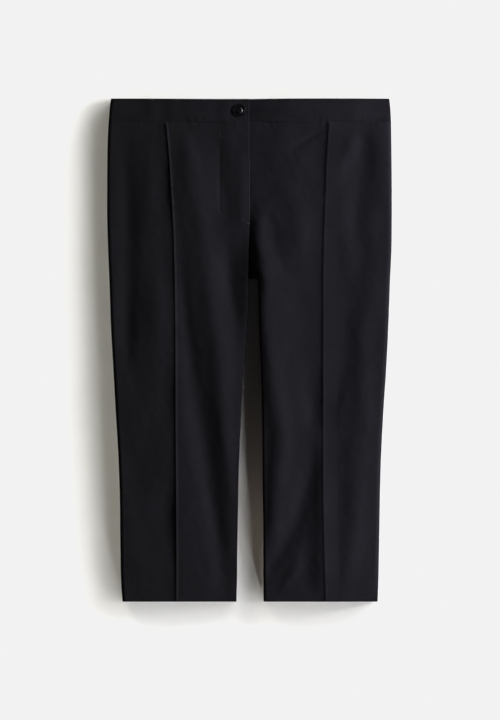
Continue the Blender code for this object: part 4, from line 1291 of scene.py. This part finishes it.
@dataclass(frozen=True)
class Button:
    """Polished button with a raised rim, a low boss in its dish, four holes and its sewing.

    The profile is half of its section, from the middle of its underside to the middle of its face.
    """

    segments: int = 72
    hole_ring: float = 2.2
    hole_radius: float = 0.85
    thread_radius: float = 0.34
    coil_radius: float = 1.0
    coil_thread: float = 0.28
    coil_turns: float = 7.0
    coil_rings: int = 90
    coil_sides: int = 6
    face: float = 1.18
    settle: float = 1.15
    flatness: float = 0.82
    profile: tuple[Turned, ...] = table(Turned, (
        (0, 0), (8.8, 0), (9.6, 0.25), (9.95, 0.6), (10, 1.1), (9.9, 1.35), (9.6, 1.45), (9.2, 1.44),
        (8.9, 1.38), (8.5, 1.12), (8.2, 1), (7.6, 0.96), (6.2, 0.94), (5.55, 0.96), (5.38, 1.04),
        (5.18, 1.26), (4.98, 1.48), (4.8, 1.56), (4, 1.58), (1.6, 1.56), (0, 1.56),
    ))

    @property
    def centre(self) -> Vector:
        """Middle of the button's underside."""
        return Vector((BUTTON_MIDDLE.x, BUTTON_MIDDLE.y, BUTTON_LOW.z - self.settle * MM))

    def hole_centres(self) -> list[Vector]:
        """Middles of the sewing holes."""
        turns = [math.radians(45.0 + 90.0 * k) for k in range(4)]
        return [self.centre + Vector((math.cos(t), math.sin(t), 0.0)) * self.hole_ring * MM for t in turns]

    def build_disc(self) -> Piece:
        """Turn the disc and drill its holes."""
        mesh = bmesh.new()
        line = [mesh.verts.new((MM * p.radius, 0.0, MM * p.height * self.flatness)) for p in self.profile]
        edges = [mesh.edges.new(pair) for pair in zip(line, line[1:])]
        bmesh.ops.spin(mesh, geom=line + edges, cent=(0, 0, 0), axis=(0, 0, 1), angle=math.tau,
                       steps=self.segments, use_merge=True)
        bmesh.ops.remove_doubles(mesh, verts=mesh.verts, dist=MM * 0.005)
        bmesh.ops.recalc_face_normals(mesh, faces=mesh.faces)
        bmesh.ops.translate(mesh, verts=mesh.verts, vec=self.centre)
        data = bpy.data.meshes.new("button_disc")
        mesh.to_mesh(data)
        mesh.free()
        piece = linked("button_disc", data)
        drills = []
        for centre in self.hole_centres():
            bpy.ops.mesh.primitive_cylinder_add(
                vertices=20, radius=self.hole_radius * MM, depth=9.0 * MM, location=centre)
            drills.append(bpy.context.object)
        cut(piece, drills)
        shaded(piece, 42.0)
        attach(piece, "root")
        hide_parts("button")
        return piece

    def cross_bars(self) -> Tube:
        """Two doubled bars of thread across the holes."""
        holes = [np.array(hole) / MM for hole in self.hole_centres()]
        depth = self.centre.z / MM + self.face - 0.9
        ends = []
        for pair in ((0, 1), (3, 2)):
            for shift in (-0.28, 0.28):
                ends.append([(holes[k][0], holes[k][1] + shift, depth) for k in pair])
        ends = np.array(ends)
        return Thread(radius=self.thread_radius, sides=8).rods(ends[:, 0], ends[:, 1], 0.8)

    def shank(self) -> Tube:
        """Thread wound round the stem between the button and the underlap."""
        low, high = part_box("button_stem")
        share = np.linspace(0.0, 1.0, self.coil_rings)
        angle = math.tau * self.coil_turns * share
        outwards = np.stack([np.cos(angle), np.sin(angle), 0.0 * angle], axis=1)
        middle = np.array([self.centre.x, self.centre.y, 0.0]) / MM
        height = mix(low.z / MM, high.z / MM - self.settle, share)
        path = middle + self.coil_radius * outwards + height[:, None] * UP
        around = np.linspace(0.0, math.tau, self.coil_sides, endpoint=False)
        rings = [path + self.coil_thread * (math.cos(t) * outwards + math.sin(t) * UP) for t in around]
        return np.stack(rings, axis=1).reshape(-1, 3), tube_quads(self.coil_rings, self.coil_sides)

    def build_sewing(self) -> Piece:
        """Wind the shank under the button and lay two bars of thread across its holes."""
        piece = joined("button_thread", [self.cross_bars(), self.shank()])
        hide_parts("button_stem")
        return piece


@dataclass(frozen=True)
class FlyZip:
    """Teeth of the closed zip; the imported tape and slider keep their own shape."""

    pitch: float = 1.6
    tooth: tuple[float, float, float] = (2.9, 0.8, 1.0)
    lean: float = 0.75
    sink: float = 0.35

    def build(self) -> Piece:
        """Lay the teeth down the middle of the tape, turn about from each side."""
        low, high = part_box("fly_zip")
        centre = (low.x + high.x) / 2.0 / MM
        corners = np.array([(a, b, c) for a in (-0.5, 0.5) for b in (-0.5, 0.5) for c in (-0.5, 0.5)])
        quads = np.array([(0, 1, 3, 2), (4, 6, 7, 5), (0, 4, 5, 1), (2, 3, 7, 6), (0, 2, 6, 4), (1, 5, 7, 3)])
        parts = []
        for k, y in enumerate(np.arange(low.y / MM + 2.0, high.y / MM - 12.0, self.pitch)):
            side = self.lean if k % 2 else -self.lean
            middle = np.array([centre + side, y, high.z / MM - self.sink])
            parts.append((corners * self.tooth + middle, quads))
        piece = joined("zip_teeth", parts)
        return piece


class Graph:
    """A node tree that is filled by naming its nodes' settings and inputs."""

    def __init__(self, tree: bpy.types.NodeTree) -> None:
        """Keep the tree."""
        self.tree = tree

    def node(self, kind: str, inputs: dict[str | int, Any] | None = None, **settings: Any) -> bpy.types.Node:
        """Add a node.

        Args:
            kind: the node's type.
            inputs: values, or sockets to link, by the input's name or number.
            **settings: the node's own settings.

        Returns:
            The new node.
        """
        node = self.tree.nodes.new(kind)
        for name, value in settings.items():
            setattr(node, name, value)
        for name, value in (inputs or {}).items():
            if isinstance(value, bpy.types.NodeSocket):
                self.link(value, node.inputs[name])
            else:
                node.inputs[name].default_value = value
        return node

    def link(self, source: bpy.types.NodeSocket, target: bpy.types.NodeSocket) -> None:
        """Link an output to an input."""
        self.tree.links.new(source, target)

    def maths(self, operation: str, first: Any, second: Any = 0.0) -> bpy.types.NodeSocket:
        """Result of a Math node on two values or sockets."""
        return self.node("ShaderNodeMath", {0: first, 1: second}, operation=operation).outputs[0]

    def scaled(self, value: Any, factor: float, shift: float) -> bpy.types.NodeSocket:
        """A value times a factor, and a shift."""
        return self.maths("ADD", self.maths("MULTIPLY", value, factor), shift)

    def blend(self, first: Any, first_share: float, second: Any, second_share: float) -> bpy.types.NodeSocket:
        """Sum of two values, each times its share."""
        parts = [self.maths("MULTIPLY", *part) for part in ((first, first_share), (second, second_share))]
        return self.maths("ADD", *parts)

    def wave(self, turns: Any) -> bpy.types.NodeSocket:
        """Sine of a number of turns."""
        return self.maths("SINE", self.maths("MULTIPLY", turns, math.tau))

    def place(self) -> bpy.types.NodeSocket:
        """Place on the object, in metres."""
        return self.node("ShaderNodeTexCoord").outputs["Object"]

    def noise(self, place: Any, scale: Any, detail: float, roughness: float = 0.5) -> bpy.types.NodeSocket:
        """Soft noise of a scale."""
        return self.node("ShaderNodeTexNoise", {
            "Vector": place, "Scale": scale, "Detail": detail, "Roughness": roughness}).outputs[0]

    def bump(self, height: Any, strength: float, distance: float, **before: Any) -> bpy.types.NodeSocket:
        """Normal that a height bends, with the one before it where there is one."""
        return self.node("ShaderNodeBump", {
            "Height": height, "Strength": strength, "Distance": distance, **before}).outputs[0]

    def tint(self, share: Any, dark: Colour, light: Colour) -> bpy.types.NodeSocket:
        """Colour a share of the way from dark to light."""
        node = self.node("ShaderNodeMix", {0: share, 6: (*dark, 1.0), 7: (*light, 1.0)}, data_type="RGBA")
        return node.outputs[2]


def shader_group(name: str, inputs: dict[str, str], outputs: Sequence[str]) -> tuple[Graph, Any, Any]:
    """Start a shader node group.

    Args:
        name: name of the group.
        inputs: kinds of its inputs, by name.
        outputs: names of its outputs, which are plain numbers.

    Returns:
        The group's graph, its input node's sockets and its output node's sockets.
    """
    tree = bpy.data.node_groups.new(name, "ShaderNodeTree")
    for label, kind in inputs.items():
        tree.interface.new_socket(name=label, in_out="INPUT", socket_type=f"NodeSocket{kind}")
    for label in outputs:
        tree.interface.new_socket(name=label, in_out="OUTPUT", socket_type="NodeSocketFloat")
    graph = Graph(tree)
    return graph, graph.node("NodeGroupInput").outputs, graph.node("NodeGroupOutput").inputs


def make_twill_group() -> bpy.types.NodeTree:
    """Diagonal ribs of a twill, broken up by the threads that cross them."""
    graph, given, made = shader_group(
        "twill_weave", {"Vector": "Vector", "Pitch": "Float", "Angle": "Float"}, ("Height", "Shade"))
    turned = graph.node("ShaderNodeVectorRotate", {"Vector": given["Vector"], "Angle": given["Angle"]},
                        rotation_type="Z_AXIS")
    place = graph.node("ShaderNodeSeparateXYZ", {0: turned.outputs[0]}).outputs
    across, lengthwise = (graph.maths("DIVIDE", place[axis], given["Pitch"]) for axis in "XY")
    rib = graph.wave(across)
    thread = graph.wave(graph.blend(lengthwise, 1.7, across, 0.5))
    height = graph.maths("ADD", graph.blend(rib, 0.34, thread, 0.16), 0.5)
    graph.link(height, made["Height"])
    # Shade is Height raised to a power: painted shade, darker where the weave's ribs are low.
    graph.link(graph.maths("POWER", height, 1.6), made["Shade"])
    return graph.tree


def make_mottle_group() -> bpy.types.NodeTree:
    """Slow drift of a dyed cloth's shade, and the fine fuzz on its face."""
    graph, given, made = shader_group(
        "cloth_mottle", {"Vector": "Vector", "Patch": "Float", "Nap": "Float"}, ("Shade", "Fuzz"))
    slow = graph.noise(given["Vector"], given["Patch"], 3.0, 0.6)
    fine = graph.noise(given["Vector"], given["Nap"], 2.0, 0.7)
    graph.link(slow, made["Shade"])
    graph.link(fine, made["Fuzz"])
    return graph.tree


def dress(pieces: Sequence[Piece], material: bpy.types.Material) -> None:
    """Give pieces one material."""
    for piece in pieces:
        piece.data.materials.clear()
        piece.data.materials.append(material)


@dataclass(frozen=True)
class Finish:
    """Two colours that a material drifts between, and the values that its shader starts from."""

    name: str
    dark: Colour
    light: Colour
    settings: tuple[tuple[str, float], ...] = ()

    def start(self) -> tuple[bpy.types.Material, Graph, bpy.types.NodeInputs]:
        """Make the material, its graph and its shader's inputs."""
        material = bpy.data.materials.new(self.name)
        material.use_nodes = True
        shader = material.node_tree.nodes["Principled BSDF"].inputs
        for label, value in self.settings:
            shader[label].default_value = value
        return material, Graph(material.node_tree), shader

    def colour(self, graph: Graph, shader: bpy.types.NodeInputs, share: Any) -> None:
        """Let a pattern drive the colour."""
        graph.link(graph.tint(share, self.dark, self.light), shader["Base Color"])


@dataclass(frozen=True)
class Speckled(Finish):
    """A finish whose colour, and gloss if it spreads, follow a fine noise."""

    scale: float = 1.0
    detail: float = 1.0
    rough: float = 1.0
    rough_spread: float = 0.0

    def make(self) -> bpy.types.Material:
        """Make the material."""
        material, graph, shader = self.start()
        noise = graph.noise(graph.place(), self.scale, self.detail)
        self.colour(graph, shader, noise)
        if self.rough_spread:
            graph.link(graph.scaled(noise, self.rough_spread, self.rough), shader["Roughness"])
        return material


@dataclass(frozen=True)
class TwillCloth(Finish):
    """Near-black stretch twill: matt, faintly violet, with a short nap, and shade painted into its colour
    where its surface turns sideways.
    """

    name: str = "stretch_twill"
    dark: Colour = (0.0052, 0.0051, 0.0058)
    light: Colour = (0.0080, 0.0079, 0.0091)
    settings: tuple[tuple[str, float], ...] = (("Specular IOR Level", 0.02),)
    pitch: float = 0.55 * MM
    angle: float = math.radians(27.0)
    patch: float = 26.0
    nap: float = 2300.0
    weave_depth: float = 0.018 * MM
    nap_depth: float = 0.02 * MM
    grain: float = 430.0
    grain_share: float = 0.64
    # share of the colour left where the surface faces sideways: painted shade at turned edges
    painted_edge_shade: float = 0.4

    def make(self, twill: bpy.types.NodeTree, mottle: bpy.types.NodeTree) -> bpy.types.Material:
        """Make the material."""
        material, graph, shader = self.start()
        place = graph.place()
        weave = graph.node("ShaderNodeGroup", node_tree=twill)
        drift = graph.node("ShaderNodeGroup", node_tree=mottle)
        for node, label, value in ((weave, "Pitch", self.pitch), (weave, "Angle", self.angle),
                                   (drift, "Patch", self.patch), (drift, "Nap", self.nap)):
            node.inputs[label].default_value = value
        for node in (weave, drift):
            graph.link(place, node.inputs["Vector"])
        # The weave's Shade is painted shade in its grooves; the drift's Shade is the dye's own uneven tone.
        share = graph.blend(drift.outputs["Shade"], 0.7, weave.outputs["Shade"], 0.4)
        grain = graph.maths("SUBTRACT", graph.noise(place, self.grain, 1.0), 0.5)
        share = graph.maths("ADD", share, graph.maths("MULTIPLY", grain, self.grain_share))
        colour = graph.tint(share, self.dark, self.light)
        # Painted shade: the colour is scaled down as the surface's normal turns from straight up, darkest at
        # rolled edges, the lap's edge and steep folds.
        normal = graph.node("ShaderNodeNewGeometry").outputs["Normal"]
        upright = graph.node("ShaderNodeSeparateXYZ", {0: normal}).outputs["Z"]
        flat = graph.node("ShaderNodeMapRange", {"Value": upright, "From Min": 0.15, "From Max": 0.8})
        shade = graph.scaled(flat.outputs[0], 1.0 - self.painted_edge_shade, self.painted_edge_shade)
        painted_shade_colour = graph.node("ShaderNodeVectorMath", {0: colour, "Scale": shade}, operation="SCALE")
        graph.link(painted_shade_colour.outputs[0], shader["Base Color"])
        graph.link(graph.scaled(drift.outputs["Fuzz"], 0.16, 0.82), shader["Roughness"])
        nap = graph.bump(drift.outputs["Fuzz"], 0.6, self.nap_depth)
        graph.link(graph.bump(weave.outputs["Height"], 0.8, self.weave_depth, Normal=nap), shader["Normal"])
        return material


@dataclass(frozen=True)
class SewingThread(Finish):
    """Twisted polyester thread, a touch glossier than the cloth."""

    name: str = "sewing_thread"
    dark: Colour = (0.0045, 0.0045, 0.0055)
    light: Colour = (0.0085, 0.0085, 0.0100)
    settings: tuple[tuple[str, float], ...] = (("Specular IOR Level", 0.2),)
    twist: float = 900.0

    def make(self) -> bpy.types.Material:
        """Make the material."""
        material, graph, shader = self.start()
        given = {"Vector": graph.place(), "Scale": self.twist, "Distortion": 0.4}
        wave = graph.node("ShaderNodeTexWave", given, bands_direction="DIAGONAL").outputs["Fac"]
        self.colour(graph, shader, wave)
        graph.link(graph.scaled(wave, 0.15, 0.6), shader["Roughness"])
        graph.link(graph.bump(wave, 0.5, 0.05 * MM), shader["Normal"])
        return material


@dataclass(frozen=True)
class ZipTape(Finish):
    """Narrow woven tape with a herringbone of fine cords."""

    name: str = "zip_tape_weave"
    dark: Colour = (0.007, 0.007, 0.008)
    light: Colour = (0.013, 0.013, 0.015)
    settings: tuple[tuple[str, float], ...] = (("Specular IOR Level", 0.2),)

    def make(self, twill: bpy.types.NodeTree) -> bpy.types.Material:
        """Make the material."""
        material, graph, shader = self.start()
        weave = graph.node("ShaderNodeGroup", node_tree=twill)
        weave.inputs["Pitch"].default_value = 0.8 * MM
        weave.inputs["Angle"].default_value = math.radians(45.0)
        graph.link(graph.place(), weave.inputs["Vector"])
        # the tape's colour follows the weave's Shade, painted shade in its grooves
        self.colour(graph, shader, weave.outputs["Shade"])
        graph.link(graph.scaled(weave.outputs["Height"], 0.1, 0.75), shader["Roughness"])
        graph.link(graph.bump(weave.outputs["Height"], 0.6, 0.1 * MM), shader["Normal"])
        return material


GLOSS_BUTTON = Speckled(   # polished black resin with the faint haze of handling
    "polished_resin", (0.0018, 0.0018, 0.0022), (0.0030, 0.0030, 0.0038),
    (("IOR", 1.5), ("Specular IOR Level", 0.3)), scale=420.0, detail=4.0, rough=0.13, rough_spread=0.12)
ZIP_METAL = Speckled(      # satin plated metal of the zip's slider, with fine tumbling marks
    "satin_plate", (0.36, 0.36, 0.38), (0.50, 0.50, 0.52),
    (("Metallic", 1.0),), scale=1500.0, detail=5.0, rough=0.28, rough_spread=0.2)
PALE_FLOOR = Speckled(     # smooth pale surface that the garment lies on
    "pale_floor", (0.875, 0.875, 0.875), (0.885, 0.885, 0.885),
    (("Roughness", 1.0), ("Specular IOR Level", 0.0)), scale=1.5, detail=1.0)


def group(name: str, members: Sequence[Piece]) -> bpy.types.Collection:
    """Collection of objects that lights can be limited to."""
    collection = bpy.data.collections.new(name)
    for member in members:
        collection.objects.link(member)
    return collection


@dataclass(frozen=True)
class Studio:
    """Pale floor, low suns at the right with a weak warm fill, and a camera straight above.

    The floor and the garment have lights of their own, each held to one of them.
    """

    floor_half: float = 40.0
    floor_drop: float = 0.2
    floor_light: float = 3.27
    key: tuple[Sun, ...] = table(Sun, (
        (-35, 6, 5, 0.0286), (-8, 11.5, 6, 0.0764), (2, 8.5, 7, 0.2292), (14, 9, 8, 0.1719),
        (26, 7.5, 6, 0.1432), (38, 6.5, 5, 0.0764), (52, 6, 5, 0.0382),
    ))
    fill: tuple[Sun, ...] = table(Sun, ((160, 40, 40, 0.1),))
    floor_key: tuple[Sun, ...] = table(Sun, (
        (-75, 2, 3, 0.134), (-60, 3, 4.5, 0.044), (-45, 3, 4.5, 0.053), (-30, 4.5, 6.7, 0.095),
        (0, 4.5, 6.7, 0.07), (0, 6.5, 9, 0.074), (0, 9, 9, 0.041), (15, 2, 3, 0.143), (15, 4.5, 6.7, 0.128),
        (30, 2, 3, 0.062), (30, 4.5, 6.7, 0.039), (45, 3, 4.5, 0.132), (60, 4.5, 6.7, 0.115),
    ))
    floor_fill: tuple[Sun, ...] = table(Sun, (
        (120, 3, 4.5, 0.134), (135, 3, 4.5, 0.051), (-150, 2, 3, 0.062),
    ))
    sun_distance: float = 4.0
    key_tint: Colour = (0.993, 1.0, 1.02)
    fill_tint: Colour = (1.0, 0.96, 0.83)
    floor_tint: Colour = (1.0, 1.0, 1.0)
    gap_place: tuple[float, float, float] = (0.012, -0.31, 0.13)
    gap_power: float = 0.05
    gap_tint: Colour = (1.0, 0.82, 0.68)
    gap_radius: float = 0.03
    strip_places: tuple[tuple[float, float, float], ...] = ((0.74, 0.40, 0.17), (0.76, -0.42, 0.17))
    strip_size: tuple[float, float] = (0.5, 0.1)
    strip_power: float = 13.0
    strip_tint: Colour = (0.95, 0.88, 1.12)
    world_strength: float = 0.004
    floor_top: float = 0.888
    camera_x: float = 2.0
    camera_y: float = -16.2
    camera_height: float = 2800.0
    view_height: float = 1152.0
    focus_height: float = 5.0
    sensor: float = 36.0

    def set_tones(self) -> None:
        """Keep tones as they are up to the floor's, and hold anything brighter there."""
        view = bpy.context.scene.view_settings
        view.view_transform = "Standard"
        view.look = "None"
        view.use_curve_mapping = True
        curve = view.curve_mapping.curves[3]
        curve.points[1].location = (1.0, self.floor_top)
        curve.points.new(self.floor_top, self.floor_top)
        for point in curve.points:
            point.handle_type = "VECTOR"
        view.curve_mapping.update()

    def build_floor(self) -> Piece:
        """Lay the floor just below the garment."""
        corners = np.array([(-1.0, -1.0, 0.0), (1.0, -1.0, 0.0), (1.0, 1.0, 0.0), (-1.0, 1.0, 0.0)])
        corners = corners * self.floor_half / MM - self.floor_drop * UP
        floor = mesh_object("floor", corners, np.array([[0, 1, 2, 3]]))
        dress([floor], PALE_FLOOR.make())
        floor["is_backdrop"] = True
        return floor

    def hang(
        self, name: str, kind: str, place: Vector, energy: float, tint: Colour, lit: bpy.types.Collection,
        **form: Any,
    ) -> Piece:
        """Hang a light that faces the middle of the floor.

        Args:
            name: name of the light.
            kind: SUN, AREA or POINT.
            place: where it hangs, in metres.
            energy: its strength.
            tint: its colour.
            lit: what it lights.
            **form: settings of its shape and size.

        Returns:
            The light's object.
        """
        data = bpy.data.lights.new(name, kind)
        data.energy = energy
        data.color = tint
        for label, value in form.items():
            setattr(data, label, value)
        lamp = linked(name, data)
        lamp.location = place
        lamp.rotation_mode = "QUATERNION"
        lamp.rotation_quaternion = place.to_track_quat("Z", "Y")
        lamp.light_linking.receiver_collection = lit
        return lamp

    def hang_suns(self, name: str, suns: Sequence[Sun], tint: Colour, lit: bpy.types.Collection) -> None:
        """Hang far lights, each as strong as its share of the floor's light asks for."""
        for number, sun in enumerate(suns):
            azimuth, elevation = math.radians(sun.azimuth), math.radians(sun.elevation)
            flat, rise = math.cos(elevation), math.sin(elevation)
            place = Vector((math.cos(azimuth) * flat, math.sin(azimuth) * flat, rise)) * self.sun_distance
            energy = self.floor_light * sun.share / rise
            self.hang(f"{name}_{number}", "SUN", place, energy, tint, lit, angle=math.radians(sun.width))

    def hang_near_lights(self, floor: bpy.types.Collection, garment: bpy.types.Collection) -> None:
        """Hang the strips that pick out the cloth, and a weak bulb for the floor between the shins."""
        gap = self.hang("gap_light", "POINT", Vector(self.gap_place), self.gap_power, self.gap_tint, floor,
                        shadow_soft_size=self.gap_radius)
        gap.light_linking.blocker_collection = floor
        form = {"shape": "RECTANGLE", "size": self.strip_size[0], "size_y": self.strip_size[1]}
        for number, spot in enumerate(self.strip_places):
            name = f"near_strip_{number}"
            self.hang(name, "AREA", Vector(spot), self.strip_power, self.strip_tint, garment, **form)

    def build_world(self) -> None:
        """Set the faint glow all round."""
        glow = bpy.data.worlds.new("studio")
        glow.use_nodes = True
        background = glow.node_tree.nodes["Background"]
        background.inputs["Color"].default_value = (1.0, 1.0, 1.0, 1.0)
        background.inputs["Strength"].default_value = self.world_strength
        bpy.context.scene.world = glow

    def build_camera(self) -> None:
        """Hang the camera over the middle of the view, looking straight down."""
        data = bpy.data.cameras.new("camera")
        data.sensor_width = self.sensor
        data.lens = self.sensor * self.camera_height / self.view_height
        data.clip_start, data.clip_end = 0.1, 100.0
        camera = linked("camera", data)
        height = self.camera_height + self.focus_height
        camera.location = (self.camera_x * MM, self.camera_y * MM, height * MM)
        bpy.context.scene.camera = camera

    def build(self, pieces: Sequence[Piece]) -> None:
        """Set up the floor, the lights, the camera and a plain rendering of tones."""
        floor = group("floor_group", [self.build_floor()])
        garment = group("garment", pieces)
        self.hang_suns("key", self.key, self.key_tint, garment)
        self.hang_suns("fill", self.fill, self.fill_tint, garment)
        self.hang_suns("floor_key", self.floor_key, self.floor_tint, floor)
        self.hang_suns("floor_fill", self.floor_fill, self.fill_tint, floor)
        self.hang_near_lights(floor, garment)
        self.build_world()
        self.build_camera()
        self.set_tones()


def report(piece: Piece) -> Piece:
    """Log a piece's name and size, and hand it on."""
    log.info("%s: %d faces", piece.name, len(piece.data.polygons))
    return piece


def main() -> None:
    """Build and dress the garment, then the studio."""
    logging.basicConfig(level=logging.INFO, format="%(name)s %(message)s")
    twill, mottle = make_twill_group(), make_mottle_group()
    cloth = TwillCloth().make(twill, mottle)
    thread = SewingThread().make()
    fronts = {leg: FrontPanel(leg) for leg in Leg}
    for panel in [*fronts.values(), *(BackPanel(leg) for leg in Leg)]:
        piece = report(panel.build())
        panel.declare(piece)
        dress([piece], cloth)
    band = Waistband()
    dress([report(band.build_front(leg)) for leg in Leg] + [report(band.build_back())], cloth)
    dress([report(piece) for piece in Sewing(fronts[Leg.RIGHT], fronts[Leg.LEFT], band).build()], thread)
    button = Button()
    dress([report(button.build_disc())], GLOSS_BUTTON.make())
    dress([report(button.build_sewing())], thread)
    dress([frame["nodes"]["fly_zip"], report(FlyZip().build())], ZipTape().make(twill))
    dress([frame["nodes"]["zip_slider"]], ZIP_METAL.make())
    Studio().build(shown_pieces())


if __name__ == "__main__":
    main()
